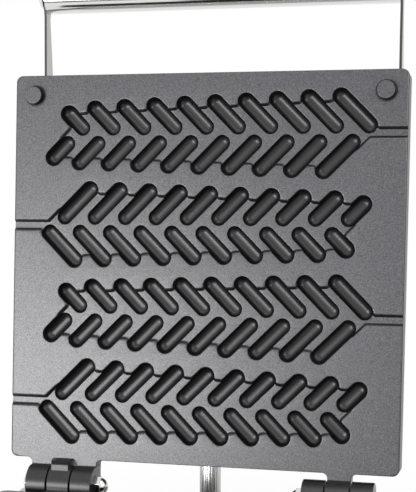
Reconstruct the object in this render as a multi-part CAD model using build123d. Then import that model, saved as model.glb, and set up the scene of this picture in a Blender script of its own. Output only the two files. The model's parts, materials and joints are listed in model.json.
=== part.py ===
from build123d import *
import math
import os

# Waffle stick maker: a base box with a cast lower plate and a hinged cast upper plate, shown open.
# Sizes in millimetres. The origin is under the middle of the open machine, +X right, -Y front, +Z up.
# A cast plate is drawn flat in its own frame: origin at the middle of its baking face, +Y away from the
# hinge, +Z out of the face. LOWER and UPPER put that frame in place.

# Cast plates
PLATE_WIDTH = 300.0
PLATE_LENGTH = 293.5
PLATE_THICKNESS = 21.0
PLATE_CORNER = 5.0
PLATE_EDGE_ROUND = 0.8
NEAR = 0.01                        # points closer than this are the same
HOLE_PLAY = 0.1                    # clearance of bolt holes, on the radius
FACE_GAP = 0.25                    # each face stays this far from the parting plane
BOSS_X, BOSS_Y = 134.0, 131.3      # locating bosses in the far corners
BOSS_RADIUS, BOSS_HEIGHT, BOSS_ROUND = 6.7, 5.5, 0.8
SOCKET_RADIUS, SOCKET_DEPTH = 7.3, 6.3

# Baking pattern: four trees of slanting fingers, each with a channel for its stick
TREE_PITCH = 67.6                  # from one tree's spine to the next
TREE_SPINE_Y = 100.9               # the spine of the tree farthest from the hinge
TREE_TURN_X = 0.3                  # a tree turned end for end turns about this X
BRANCH_COUNT = 10
BRANCH_PITCH = 24.25
UPPER_BRANCH_X = -96.3             # inner end centre of the first upper finger
LOWER_BRANCH_X = -108.1            # inner end centre of the first lower finger
BRANCH_OFFSET = 5.95               # inner end centres lie this far from the spine
FIRST_FINGER_REACH = 23.0          # spine to the outer tip of the first finger
SECOND_FINGER_REACH = 26.4         # the same for the second finger
FINGER_REACH_STEP = 0.83           # and how much each later one gains
FINGER_RADIUS = 6.5
FINGER_DEPTH = 7.5
FINGER_DRAFT = 14.0                # degrees
FINGER_FLOOR_ROUND = 5.2
WEB_DEPTH = 2.3                    # the web that joins the fingers, and the stick's channel
WEB_INSET = 9.3                    # half-way down its sides it lies this far inside the fingertips
WEB_SLOPE = 43.0                   # degrees that its sides lean back
WEB_CORNER = 2.2                   # rounding of the face's tongues between the fingertips
WEB_MARGIN = 0.2                   # its outline stays this far inside a finger's mouth
CHANNEL_WIDTH = 6.5                # half-way down the sides
CHANNEL_OFFSET = 0.6               # channel centre beyond the spine
CHANNEL_OVERRUN = 8.0              # its cutter runs this far past the plate's edge
CUT_ABOVE = 1.0                    # cutters start this far above the face

# Hinges
OPEN_ANGLE = 102.0
AXIS_SETBACK = 19.3                # axis to the plates' rear edges
HINGE_X = 106.4
KNUCKLE_RADIUS = 14.2
OUTER_KNUCKLE = 16.4
CENTRE_KNUCKLE = 17.6
KNUCKLE_PLAY = 1.0
ARM_THICKNESS = 12.0
ARM_ROUND = 4.0
NOTCH_ROUND = 3.0
PIN_RADIUS = 4.0
PIN_PLAY = 0.05
PIN_HEAD_RADIUS, PIN_HEAD_LENGTH = 7.5, 4.0
NUT_HEX_RADIUS, NUT_LENGTH, NUT_DOME_RADIUS, NUT_DOME_HEIGHT = 7.5, 5.0, 6.2, 5.0
PIN_HEAD_ROUND = 1.8
STOP_WIDTH, STOP_NEAR, STOP_FAR, STOP_GAP, STOP_ROUND = 14.2, 0.5, 14.0, 0.2, 1.2
STOP_NOSE_RADIUS, STOP_NOSE = 18.4, 9.0         # the lug's nose over the knuckle, round about the axis

# Heater stack behind each plate, as depths below the baking face
ELEMENT_RADIUS = 4.0
ELEMENT_PLAY = 0.15
ELEMENT_BEND = 25.0
ELEMENT_OUTER_X, ELEMENT_INNER_X = 110.0, 40.0
ELEMENT_FAR_Y, ELEMENT_NEAR_Y, ELEMENT_END_Y = 105.0, -95.0, -120.0
TERMINAL_RADIUS, TERMINAL_LENGTH, TERMINAL_ROOM = 2.0, 10.0, 2.0
CLAMP_X, CLAMP_YS, CLAMP_WIDTH, CLAMP_THICKNESS = 75.0, (60.0, -50.0), 24.0, 2.0
CLAMP_LENGTH = 240.0
STUD_RADIUS, STUD_SINK, STUD_END = 3.0, 6.0, 34.0
STUD_NUT_RADIUS, STUD_NUT_HEIGHT = 5.8, 5.0
INSULATION_SIZE, INSULATION_TOP, INSULATION_BOTTOM = 232.0, 37.0, 60.0
SHELL_SIZE = 278.0
SHELL_DEPTH = 62.0                 # from the baking face to the shell's outside
SHELL_WALL = 1.2
SHELL_CORNER = 12.0
SHELL_EDGE = 7.0
POST_X = 125.0
POST_RADIUS, POST_HOLE, POST_HOLE_DEPTH = 6.0, 2.1, 14.0
SCREW_RADIUS, SCREW_CLEAR = 2.0, 2.5
SCREW_HEAD_RADIUS, SCREW_HEAD_HEIGHT, SCREW_HEAD_ROUND = 4.5, 2.8, 1.7

# Handle
STRAP_THICKNESS = 2.0
STRAP_START_Y = 12.0
STRAP_BACK, STRAP_FRONT = 53.0, 36.0          # depths of its edges along the lid shell
NECK_Y, NECK_BACK, NECK_FRONT = 198.0, 42.0, 33.5
PLATE_EXIT_Y, EXIT_BACK = 147.0, 51.0
TUBE_Y, TUBE_DEPTH, TUBE_RADIUS, TUBE_WALL = 213.6, 38.0, 12.0, 1.5
EYE_RADIUS, STRAP_CORNER = 8.0, 6.0
HANDLE_BOLT_RADIUS, HANDLE_DOME_RADIUS, HANDLE_DOME_HEIGHT = 4.0, 10.5, 6.0
HANDLE_BOLT_LENGTH, PLUG_LENGTH = 22.0, 26.0
STRAP_BOLT_YS, STRAP_BOLT_DEPTH, STRAP_BOLT_RADIUS = (32.0, 112.0), 44.5, 2.5
STRAP_HEAD_RADIUS, STRAP_HEAD_HEIGHT, STRAP_HEAD_ROUND = 5.0, 3.2, 2.2
STRAP_NUT_RADIUS, STRAP_NUT_HEIGHT, STRAP_THREAD_END = 4.6, 4.0, 2.0

# Base box
FOOT_HEIGHT = 22.0
DECK_Z = 170.0
AXIS_Z = 200.0
BASE_HALF_WIDTH = 170.0
BASE_REAR, BASE_FRONT, DECK_FRONT = 62.0, -352.0, -322.0      # from the hinge axis, along Y
SLOPE_FOOT_Z = 60.0
SHEET = 1.2
PANEL_SHEET = 1.5
BEND_OUTER = 6.0
PANEL_PLAY = 0.2
DECK_OPENING = 282.0
DECK_OPENING_CORNER = 14.0
RAIL_LENGTH, RAIL_LEG, RAIL_THICKNESS = 200.0, 18.0, 2.0
FOOT_XS, FOOT_YS = (-138.0, 138.0), (-322.0, 32.0)
FOOT_TOP_RADIUS, FOOT_BOTTOM_RADIUS, FOOT_ROUND = 18.0, 15.0, 1.5
FOOT_HOLE, FOOT_RECESS_RADIUS, FOOT_RECESS_DEPTH = 3.2, 7.0, 10.0
FOOT_BOLT_RADIUS, FOOT_HEAD_RADIUS, FOOT_HEAD_HEIGHT, FOOT_THREAD_END = 3.0, 5.5, 4.0, 3.0
VENT_COUNT, VENT_PITCH, VENT_LENGTH, VENT_WIDTH = 9, 14.0, 60.0, 4.0
REAR_VENTS_X, REAR_VENTS_Z, FLOOR_VENTS_Y = -30.0, 95.0, -145.0
CUT = 5.0                          # cutters reach this far past a sheet
WIDE = 400.0                       # and cutting blocks this far each way
BRACKET_LEG, BRACKET_SHEET, BRACKET_HEIGHT = 14.0, 2.0, 16.0
REAR_BRACKET_ZS, FRONT_BRACKET_ZS = (44.0, 142.0), (41.0,)
PANEL_SCREW_RADIUS, PANEL_SCREW_END = 2.0, 5.0
PANEL_HEAD_RADIUS, PANEL_HEAD_HEIGHT, PANEL_HEAD_ROUND = 3.8, 2.4, 1.4

# Controls on the sloping panel
TEMPERATURE_X, TIMER_X, SWITCH_X = -98.0, 2.0, 98.0
KNOB_Y, SWITCH_Y, LAMP_Y, LAMP_SPREAD = -6.0, -12.0, 24.0, 14.0
KNOB_RADIUS, KNOB_SKIRT_RADIUS, KNOB_HEIGHT, KNOB_SKIRT_HEIGHT = 18.0, 23.0, 19.0, 4.0
KNOB_GAP, KNOB_TAPER, KNOB_SKIRT_TAPER, KNOB_ROUND = 1.0, 1.0, 1.5, 1.2
KNOB_BORE_PLAY = 0.02
KNOB_GRIP_WIDTH, KNOB_GRIP_DEPTH = 13.0, 11.0
SPINDLE_RADIUS, SPINDLE_PLAY, SPINDLE_SINK, SPINDLE_COVER = 3.0, 0.05, 12.0, 6.0
BUSH_RADIUS, BUSH_HEIGHT = 5.5, 0.6
CONTROL_BODY, CONTROL_BODY_DEPTH, CONTROL_BODY_CORNER = 44.0, 34.0, 4.0
SWITCH_WIDTH, SWITCH_LENGTH, BEZEL_HEIGHT, BEZEL_CORNER, BEZEL_ROUND = 24.0, 33.0, 2.2, 2.5, 1.0
SWITCH_BODY_WIDTH, SWITCH_BODY_LENGTH, SWITCH_BODY_DEPTH = 20.6, 29.6, 22.0
ROCKER_RADIUS, ROCKER_WIDTH, ROCKER_PLAY = 13.0, 16.0, 0.35
ROCKER_TILT = 11.0
ROCKER_PIVOT, ROCKER_VALLEY, ROCKER_FLOOR = -1.5, 2.8, 7.0
ROCKER_PIN_RADIUS, ROCKER_PIN_LENGTH = 1.5, 1.0
LAMP_BEZEL_RADIUS, LAMP_BODY_RADIUS, LAMP_BODY_DEPTH, LAMP_BEZEL_HEIGHT = 6.5, 5.0, 20.0, 1.6
LAMP_BEZEL_EDGE = 0.6
LENS_RADIUS, LENS_SINK, LENS_RISE, LENS_ROUND, LENS_PLAY = 4.2, 3.0, 1.6, 1.5, 0.05

# Ceramic terminal block on the floor of the base
TERMINAL_WAYS, WAY_PITCH, BLOCK_WIDTH, BLOCK_HEIGHT = 3, 20.0, 24.0, 20.0
WAY_SCREW_RADIUS, WAY_SCREW_DEPTH, WAY_WIRE_RADIUS, WAY_WIRE_Z = 3.0, 8.0, 2.5, 6.0
BLOCK_X, BLOCK_Y = 60.0, -40.0

# Thermostat bulb against the lower casting, and its capillary down to the control
BULB_RADIUS, BULB_NEAR_Y, BULB_FAR_Y = 3.0, -34.0, 44.0
CAPILLARY_RADIUS, CAPILLARY_HOLE, CAPILLARY_BEND = 0.8, 1.5, 8.0
CAPILLARY_DROP_Y, CAPILLARY_LEVEL_Z = 127.0, 112.0

# Conduit with its nuts, and the inlet gland
CONDUIT_DEPTH = 40.0               # its centre below the upper face, where it leaves the lid shell
CONDUIT_RADIUS, CONDUIT_BORE = 8.25, 6.2
ARC_SHARE = 0.45                   # part of the shorter run that each end of a bend takes
NUT_FLATS_RADIUS, NUT_FLANGE, NUT_COLLAR_RADIUS, NUT_REACH = 13.2, 5.0, 9.4, 9.0
NECK_RADIUS, LOCKNUT_RADIUS, LOCKNUT_HEIGHT, NECK_END = 8.0, 12.0, 4.0, 2.0
GLAND_X, GLAND_Z, GLAND_BORE = 110.0, 62.0, 4.2
GLAND_HEX_RADIUS, GLAND_HEX_HEIGHT, GLAND_CAP_RADIUS, GLAND_LENGTH = 14.0, 7.0, 11.0, 22.0
GLAND_NECK_RADIUS, GLAND_INNER, GLAND_CAP_EDGE, GLAND_NUT_HEIGHT = 9.0, 10.0, 3.5, 5.0

# Derived places
LEAN = math.radians(OPEN_ANGLE - 90)
HALF_LENGTH = PLATE_LENGTH / 2
AXIS_Y_LOCAL = -(HALF_LENGTH + AXIS_SETBACK)
TUBE_REACH = TUBE_Y - AXIS_Y_LOCAL
SLOPE_RISE = DECK_Z - SLOPE_FOOT_Z
SLOPE_RUN = DECK_FRONT - BASE_FRONT
SLOPE_ANGLE = math.degrees(math.atan2(SLOPE_RISE, SLOPE_RUN))
SLOPE_SIN, SLOPE_COS = math.sin(math.radians(SLOPE_ANGLE)), math.cos(math.radians(SLOPE_ANGLE))
KNOB_FRONT = (
    (BASE_FRONT + DECK_FRONT) / 2
    - (KNOB_GAP + KNOB_HEIGHT) * SLOPE_SIN
    + (KNOB_Y - KNOB_RADIUS) * SLOPE_COS
)
TUBE_REAR = TUBE_REACH * math.sin(LEAN) + (TUBE_DEPTH + FACE_GAP) * math.cos(LEAN) + TUBE_RADIUS
AXIS_Y = -(TUBE_REAR + KNOB_FRONT) / 2

AXIS = Location((0, AXIS_Y, AXIS_Z))
TO_AXIS = Location((0, -AXIS_Y_LOCAL, -FACE_GAP))
LOWER = AXIS * Location((0, 0, 0), (0, 0, 180)) * TO_AXIS
UPPER = AXIS * Location((0, 0, 0), (180 - OPEN_ANGLE, 0, 0)) * TO_AXIS
PANEL = (
    Location((0, AXIS_Y + (BASE_FRONT + DECK_FRONT) / 2, (SLOPE_FOOT_Z + DECK_Z) / 2))
    * Location((0, 0, 0), (SLOPE_ANGLE, 0, 0))
)
BASE = Location((0, AXIS_Y, 0))

parts = {}


def block(x0, x1, y0, y1, z0, z1):
    """A box between two corners."""
    box = Box(x1 - x0, y1 - y0, z1 - z0)
    return Pos((x0 + x1) / 2, (y0 + y1) / 2, (z0 + z1) / 2) * box


def rod(radius, start, end):
    """A round bar from one point to another."""
    line = Line(start, end)
    return extrude(Plane(origin=start, z_dir=line % 0) * Circle(radius), amount=line.length)


def hex_bar(radius, start, end):
    """A hexagonal bar, its corners at the given radius."""
    line = Line(start, end)
    return extrude(Plane(origin=start, z_dir=line % 0) * RegularPolygon(radius, 6), amount=line.length)


def dome(radius, height):
    """A domed cap on the plane Z 0."""
    ball = (radius ** 2 + height ** 2) / (2 * height)
    half_turn = math.asin(radius / ball) / 2
    shoulder = (ball * math.sin(half_turn), height - ball + ball * math.cos(half_turn))
    outline = Polyline((0, height), (0, 0), (radius, 0)) + ThreePointArc((radius, 0), shoulder, (0, height))
    return revolve(Plane.XZ * make_face(outline), Axis.Z)


def rounded_block(size_x, size_y, z0, z1, corner):
    """An upright slab with rounded corners in plan."""
    return extrude(Pos(0, 0, z0) * RectangleRounded(size_x, size_y, corner), amount=z1 - z0)


def finger_reach(index):
    """How far the tip of a finger lies from the spine."""
    if index == 0:
        return FIRST_FINGER_REACH
    return SECOND_FINGER_REACH + FINGER_REACH_STEP * (index - 1)


def finger_cutter(span):
    """A finger along +X from its inner end centre: steep walls and a rounded floor."""
    flare = CUT_ABOVE * math.tan(math.radians(FINGER_DRAFT))
    mouth = Pos(span / 2, 0, 0) * SlotCenterToCenter(span, 2 * (FINGER_RADIUS + flare))
    depth = FINGER_DEPTH + CUT_ABOVE
    pocket = extrude(mouth, amount=depth, taper=FINGER_DRAFT)
    floor = pocket.faces().sort_by(Axis.Z)[-1]
    pocket = fillet(floor.edges(), FINGER_FLOOR_ROUND)
    return Pos(0, 0, CUT_ABOVE) * Rot(180, 0, 0) * pocket


def finger_places():
    """Inner end and direction of each finger about the tree's spine, with the finger's span."""
    places = []
    for index in range(BRANCH_COUNT):
        span = (finger_reach(index) - BRANCH_OFFSET - FINGER_RADIUS) * math.sqrt(2)
        shift = BRANCH_PITCH * index
        places.append((Pos(UPPER_BRANCH_X + shift, BRANCH_OFFSET, 0) * Rot(0, 0, 135), span))
        places.append((Pos(LOWER_BRANCH_X + shift, -BRANCH_OFFSET, 0) * Rot(0, 0, 225), span))
    return places


def web_outline():
    """The web half-way down its sides, pointed at the tree's tip and at the stick."""
    last = BRANCH_COUNT - 1
    flank = FINGER_RADIUS / math.sqrt(2)
    first_tip = SECOND_FINGER_REACH - FINGER_REACH_STEP - WEB_INSET
    last_tip = finger_reach(last) - WEB_INSET
    upper_last = UPPER_BRANCH_X + BRANCH_PITCH * last
    lower_last = LOWER_BRANCH_X + BRANCH_PITCH * last
    channel_bottom = CHANNEL_OFFSET - CHANNEL_WIDTH / 2
    tip_x = (UPPER_BRANCH_X + LOWER_BRANCH_X) / 2 + BRANCH_OFFSET - 2 * flank
    outline = [
        (tip_x, (UPPER_BRANCH_X - LOWER_BRANCH_X) / 2),
        (LOWER_BRANCH_X - flank, -BRANCH_OFFSET + flank),
        (LOWER_BRANCH_X - first_tip + BRANCH_OFFSET, -first_tip),
        (lower_last - last_tip + BRANCH_OFFSET, -last_tip),
        (lower_last + flank, -BRANCH_OFFSET - flank),
        (lower_last + 2 * flank + channel_bottom + BRANCH_OFFSET, channel_bottom),
        (upper_last, BRANCH_OFFSET),
        (upper_last - last_tip + BRANCH_OFFSET, last_tip),
        (UPPER_BRANCH_X - first_tip + BRANCH_OFFSET, first_tip),
    ]
    return Polygon(*outline, align=None)


def web_cutter():
    """The shallow web and the stick's channel, their sides sloping down to one floor."""
    lean = math.tan(math.radians(WEB_SLOPE))
    flare = CUT_ABOVE * lean
    half_run = flare + WEB_DEPTH / 2 * lean
    mouth = offset(web_outline(), amount=half_run, kind=Kind.INTERSECTION)
    finger_width = 2 * (FINGER_RADIUS - WEB_MARGIN + flare)
    for place, span in finger_places():
        mouth += place * Pos(span / 2, 0, 0) * SlotCenterToCenter(span, finger_width)
    start = UPPER_BRANCH_X + BRANCH_PITCH * (BRANCH_COUNT - 1)
    end = PLATE_WIDTH / 2 + CHANNEL_OVERRUN
    channel = Rectangle(end - start, CHANNEL_WIDTH + 2 * half_run)
    mouth += Pos((start + end) / 2, CHANNEL_OFFSET) * channel
    corner = WEB_CORNER - flare
    mouth = offset(offset(mouth, amount=corner), amount=-corner)
    web = extrude(mouth, amount=-WEB_DEPTH - CUT_ABOVE, taper=WEB_SLOPE)
    return Pos(0, 0, CUT_ABOVE) * web


def tree_cutters():
    """The fingers, web and stick channel of the tree farthest from the hinge."""
    cutters = [place * finger_cutter(span) for place, span in finger_places()]
    cutters.append(web_cutter())
    return [Pos(0, TREE_SPINE_Y, 0) * cutter for cutter in cutters]


def pattern_cutters():
    """All four trees, every second one turned end for end."""
    tree = tree_cutters()
    turn_centre = TREE_SPINE_Y - TREE_PITCH / 2
    to_centre = Location((-TREE_TURN_X, -turn_centre, 0))
    turn = Location((TREE_TURN_X, turn_centre, 0)) * Rot(0, 0, 180) * to_centre
    cutters = []
    for pair in range(2):
        shift = Pos(0, -2 * TREE_PITCH * pair, 0)
        cutters += [shift * cutter for cutter in tree]
        cutters += [shift * turn * cutter for cutter in tree]
    return cutters


def knuckle_spans():
    """X spans of the knuckles of one casting: two outer ones at -HINGE_X and a centre one at +HINGE_X."""
    inner = CENTRE_KNUCKLE / 2 + KNUCKLE_PLAY
    outer = inner + OUTER_KNUCKLE
    return [
        (-HINGE_X - outer, -HINGE_X - inner),
        (-HINGE_X + inner, -HINGE_X + outer),
        (HINGE_X - CENTRE_KNUCKLE / 2, HINGE_X + CENTRE_KNUCKLE / 2),
    ]


def arm_roots(outline, in_notch):
    """Corners where the hinge arms meet the plate's rear edge, in the notch or outside it."""
    plate_corner = PLATE_WIDTH / 2 - 2 * PLATE_CORNER
    rear = outline.vertices().filter_by(lambda v: abs(v.Y + HALF_LENGTH) < NEAR)
    roots = [v for v in rear if abs(v.X) < plate_corner]
    notch = CENTRE_KNUCKLE / 2 + KNUCKLE_PLAY + NEAR
    return [v for v in roots if (abs(v.X + HINGE_X) < notch) == in_notch]


def casting_blank():
    """A plate with its hinge arms and knuckles, before the baking pattern is cut."""
    plate = rounded_block(PLATE_WIDTH, PLATE_LENGTH, -PLATE_THICKNESS, 0, PLATE_CORNER)
    plate = chamfer(plate.faces().sort_by(Axis.Z)[-1].edges(), PLATE_EDGE_ROUND)
    arms = Sketch() + Rectangle(PLATE_WIDTH - 2 * PLATE_CORNER, PLATE_LENGTH)
    for x0, x1 in knuckle_spans():
        arms += Pos((x0 + x1) / 2, AXIS_Y_LOCAL / 2) * Rectangle(x1 - x0, -AXIS_Y_LOCAL)
    arms = fillet(arm_roots(arms, in_notch=False), ARM_ROUND)
    arms = fillet(arm_roots(arms, in_notch=True), NOTCH_ROUND)
    plate += extrude(arms, amount=-ARM_THICKNESS)
    for x0, x1 in knuckle_spans():
        plate += rod(KNUCKLE_RADIUS, (x0, AXIS_Y_LOCAL, FACE_GAP), (x1, AXIS_Y_LOCAL, FACE_GAP))
    reach = PLATE_WIDTH / 2
    plate -= rod(PIN_RADIUS + PIN_PLAY, (-reach, AXIS_Y_LOCAL, FACE_GAP), (reach, AXIS_Y_LOCAL, FACE_GAP))
    return plate


def element_path():
    """The heater's route behind the plate, two hairpins from rear to front."""
    z = -PLATE_THICKNESS
    corners = [
        (-ELEMENT_OUTER_X, ELEMENT_END_Y, z),
        (-ELEMENT_OUTER_X, ELEMENT_FAR_Y, z),
        (-ELEMENT_INNER_X, ELEMENT_FAR_Y, z),
        (-ELEMENT_INNER_X, ELEMENT_NEAR_Y, z),
        (ELEMENT_INNER_X, ELEMENT_NEAR_Y, z),
        (ELEMENT_INNER_X, ELEMENT_FAR_Y, z),
        (ELEMENT_OUTER_X, ELEMENT_FAR_Y, z),
        (ELEMENT_OUTER_X, ELEMENT_END_Y, z),
    ]
    return FilletPolyline(*corners, radius=ELEMENT_BEND)


def element_tube(radius):
    """A round bar along the heater's route."""
    path = element_path()
    return sweep(Plane(origin=path @ 0, z_dir=path % 0) * Circle(radius), path=path)


def stud_places():
    return [(side * CLAMP_X, y) for side in (-1, 1) for y in CLAMP_YS]


def post_places():
    return [(sx * POST_X, sy * POST_X) for sx in (-1, 1) for sy in (-1, 1)]


def back_cutters():
    """Groove for the heater, stud holes and post holes in the back of a casting."""
    back = -PLATE_THICKNESS
    hole = STUD_RADIUS + PIN_PLAY
    holes = [rod(hole, (x, y, back + STUD_SINK), (x, y, back - 1)) for x, y in stud_places()]
    groove = ELEMENT_RADIUS + ELEMENT_PLAY
    for side in (-1, 1):
        x = side * ELEMENT_OUTER_X
        end = ELEMENT_END_Y - TERMINAL_LENGTH - TERMINAL_ROOM
        holes.append(rod(groove, (x, ELEMENT_END_Y + 1, back), (x, end, back)))
    return [element_tube(groove)] + holes


def element():
    """The sheathed heater with its two cold pins."""
    bar = element_tube(ELEMENT_RADIUS)
    for side in (-1, 1):
        x = side * ELEMENT_OUTER_X
        z = -PLATE_THICKNESS
        bar += rod(TERMINAL_RADIUS, (x, ELEMENT_END_Y + 1, z), (x, ELEMENT_END_Y - TERMINAL_LENGTH, z))
    return bar


def element_clamps():
    """Two flat bars that press the heater against the casting."""
    top = -(PLATE_THICKNESS + ELEMENT_RADIUS + PIN_PLAY)
    half = CLAMP_WIDTH / 2
    bars = []
    for y in CLAMP_YS:
        bar = block(-CLAMP_LENGTH / 2, CLAMP_LENGTH / 2, y - half, y + half, top - CLAMP_THICKNESS, top)
        for side in (-1, 1):
            x = side * CLAMP_X
            bar -= rod(STUD_RADIUS + ELEMENT_PLAY, (x, y, top + 1), (x, y, top - CLAMP_THICKNESS - 1))
        bars.append(bar)
    return bars


def clamp_studs():
    """Studs screwed into the casting, each with its nut under the clamp bar."""
    seat = -(PLATE_THICKNESS + ELEMENT_RADIUS + PIN_PLAY + CLAMP_THICKNESS)
    studs = []
    for x, y in stud_places():
        stud = rod(STUD_RADIUS, (x, y, -PLATE_THICKNESS + STUD_SINK - PIN_PLAY), (x, y, -STUD_END))
        studs.append(stud + hex_bar(STUD_NUT_RADIUS, (x, y, seat), (x, y, seat - STUD_NUT_HEIGHT)))
    return studs


def shell_body():
    """The drawn steel shell that closes the back of a casting."""
    rim, floor = -PLATE_THICKNESS, -SHELL_DEPTH
    outer = rounded_block(SHELL_SIZE, SHELL_SIZE, floor, rim, SHELL_CORNER)
    outer = fillet(outer.faces().sort_by(Axis.Z)[0].edges(), SHELL_EDGE)
    size = SHELL_SIZE - 2 * SHELL_WALL
    inner = rounded_block(size, size, floor + SHELL_WALL, rim + 1, SHELL_CORNER - SHELL_WALL)
    inner = fillet(inner.faces().sort_by(Axis.Z)[0].edges(), SHELL_EDGE - SHELL_WALL)
    shell = outer - inner
    for x, y in post_places():
        shell -= rod(SCREW_CLEAR, (x, y, floor - 1), (x, y, floor + SHELL_WALL + 1))
    return shell


def shell_posts():
    """Posts between the casting and the shell's floor, drilled for its screws."""
    floor = -SHELL_DEPTH + SHELL_WALL
    posts = []
    for x, y in post_places():
        post = rod(POST_RADIUS, (x, y, -PLATE_THICKNESS), (x, y, floor))
        posts.append(post - rod(POST_HOLE, (x, y, floor - 1), (x, y, floor + POST_HOLE_DEPTH)))
    return posts


def shell_screws():
    """Pan-head screws through the shell into the posts."""
    floor = -SHELL_DEPTH
    screws = []
    for x, y in post_places():
        head = rod(SCREW_HEAD_RADIUS, (x, y, floor), (x, y, floor - SCREW_HEAD_HEIGHT))
        head = fillet(head.faces().sort_by(Axis.Z)[0].edges(), SCREW_HEAD_ROUND)
        shank = rod(SCREW_RADIUS, (x, y, floor - 1), (x, y, floor + POST_HOLE_DEPTH - 1))
        screws.append(head + shank)
    return screws


def insulation():
    """The ceramic-fibre pad between the heater and the shell's floor."""
    size = INSULATION_SIZE
    return rounded_block(size, size, -INSULATION_BOTTOM, -INSULATION_TOP, SHELL_CORNER)


def heater_stack(prefix, place):
    """The pieces behind one casting, apart from its shell."""
    parts[prefix + "_heating_element"] = [place * element()]
    parts[prefix + "_element_clamps"] = [place * bar for bar in element_clamps()]
    parts[prefix + "_clamp_studs"] = [place * stud for stud in clamp_studs()]
    parts[prefix + "_insulation"] = [place * insulation()]
    parts[prefix + "_shell_posts"] = [place * post for post in shell_posts()]
    parts[prefix + "_shell_screws"] = [place * screw for screw in shell_screws()]


def upper_plate():
    """The upper casting with its two locating bosses."""
    casting = casting_blank() - pattern_cutters() - back_cutters()
    for side in (-1, 1):
        boss = rod(BOSS_RADIUS, (side * BOSS_X, BOSS_Y, -1), (side * BOSS_X, BOSS_Y, BOSS_HEIGHT))
        casting += fillet(boss.faces().sort_by(Axis.Z)[-1].edges(), BOSS_ROUND)
    return UPPER * casting


def stop_lug():
    """The lug on the lower left centre knuckle that the open upper casting leans on."""
    half = STOP_WIDTH / 2
    top = AXIS_SETBACK - STOP_GAP
    z_near, z_far = -STOP_NEAR, -STOP_FAR
    lug = block(-HINGE_X - half, -HINGE_X + half, 0, top, z_far, z_near)
    lug = fillet(lug.edges().filter_by(Axis.Z).group_by(Axis.Y)[-1], STOP_ROUND)
    nose = rod(STOP_NOSE_RADIUS, (-HINGE_X - half, 0, 0), (-HINGE_X + half, 0, 0))
    lug += nose & block(-HINGE_X - half, -HINGE_X + half, 0, top, z_near, STOP_NOSE)
    return AXIS * Rot(180 - OPEN_ANGLE, 0, 0) * lug


def lower_plate():
    """The lower casting: the same blank with the pattern mirrored, sockets and the stop lug."""
    cutters = [mirror(cutter, about=Plane.YZ) for cutter in pattern_cutters()]
    casting = casting_blank() - cutters - back_cutters()
    for side in (-1, 1):
        x = side * BOSS_X
        casting -= rod(SOCKET_RADIUS, (x, BOSS_Y, -SOCKET_DEPTH), (x, BOSS_Y, 1))
    bore_half = CENTRE_KNUCKLE / 2
    bore = rod(PIN_RADIUS + PIN_PLAY, (-HINGE_X - bore_half, 0, 0), (-HINGE_X + bore_half, 0, 0))
    return LOWER * casting + (stop_lug() - AXIS * bore)


def hinge_pin(side):
    """A headed pin through one hinge, its head on the outer side."""
    half = CENTRE_KNUCKLE / 2 + KNUCKLE_PLAY + OUTER_KNUCKLE
    outer, inner = side * (HINGE_X + half), side * (HINGE_X - half)
    head_end = outer + side * PIN_HEAD_LENGTH
    thread_end = inner - side * NUT_LENGTH
    head = rod(PIN_HEAD_RADIUS, (outer, 0, 0), (head_end, 0, 0))
    head = fillet(head.faces().sort_by(Axis.X)[-1 if side > 0 else 0].edges(), PIN_HEAD_ROUND)
    return AXIS * (head + rod(PIN_RADIUS, (outer, 0, 0), (thread_end, 0, 0)))


def dome_nut(side):
    """The domed nut on the pin's inner end."""
    half = CENTRE_KNUCKLE / 2 + KNUCKLE_PLAY + OUTER_KNUCKLE
    inner = side * (HINGE_X - half)
    hex_end = inner - side * NUT_LENGTH
    nut = hex_bar(NUT_HEX_RADIUS, (inner, 0, 0), (hex_end, 0, 0))
    nut += Pos(hex_end, 0, 0) * Rot(0, -side * 90, 0) * dome(NUT_DOME_RADIUS, NUT_DOME_HEIGHT)
    nut -= rod(PIN_RADIUS + PIN_PLAY, (inner + side, 0, 0), (hex_end - side * PIN_PLAY, 0, 0))
    return AXIS * nut


def conduit_nut():
    """A hex union along -Z from a wall at Z 0, its neck through the wall to a locknut inside."""
    union = hex_bar(NUT_FLATS_RADIUS, (0, 0, 0), (0, 0, NUT_FLANGE))
    union += rod(NUT_COLLAR_RADIUS, (0, 0, NUT_FLANGE), (0, 0, NUT_REACH))
    inside = -(SHELL_WALL + LOCKNUT_HEIGHT)
    union += rod(NECK_RADIUS, (0, 0, 0), (0, 0, inside - NECK_END))
    union += rod(LOCKNUT_RADIUS, (0, 0, -SHELL_WALL), (0, 0, inside))
    return union - rod(CONDUIT_BORE, (0, 0, NUT_REACH + 1), (0, 0, inside - NECK_END - 1))


def lid_union_place():
    """The union's frame on the hinge-side wall of the lid shell."""
    return UPPER * Location((0, -SHELL_SIZE / 2, -CONDUIT_DEPTH), (90, 0, 0))


def conduit_ends():
    """Where the conduit starts at the lid union and ends at the base union, and the bend between."""
    start = (lid_union_place() * Location((0, 0, NUT_REACH))).position
    end_z = DECK_Z + NUT_REACH
    bend_z = (start.Z + end_z) / 2
    bend_y = start.Y - (start.Z - bend_z) * math.tan(LEAN)
    return start, Vector(0, bend_y, bend_z), Vector(0, bend_y, end_z)


def conduit():
    """The metal-sleeved conduit that carries the lid's wiring, from union to union."""
    start, bend, end = conduit_ends()
    run = (bend - end).length
    radius = ARC_SHARE * run / math.tan(LEAN / 2)
    path = FilletPolyline(start, bend, end, radius=radius)
    plane = Plane(origin=path @ 0, z_dir=path % 0)
    print("conduit bend radius", round(radius, 1), "length", round(path.length, 1))
    return sweep(plane * (Circle(CONDUIT_RADIUS) - Circle(CONDUIT_BORE)), path=path)


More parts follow.
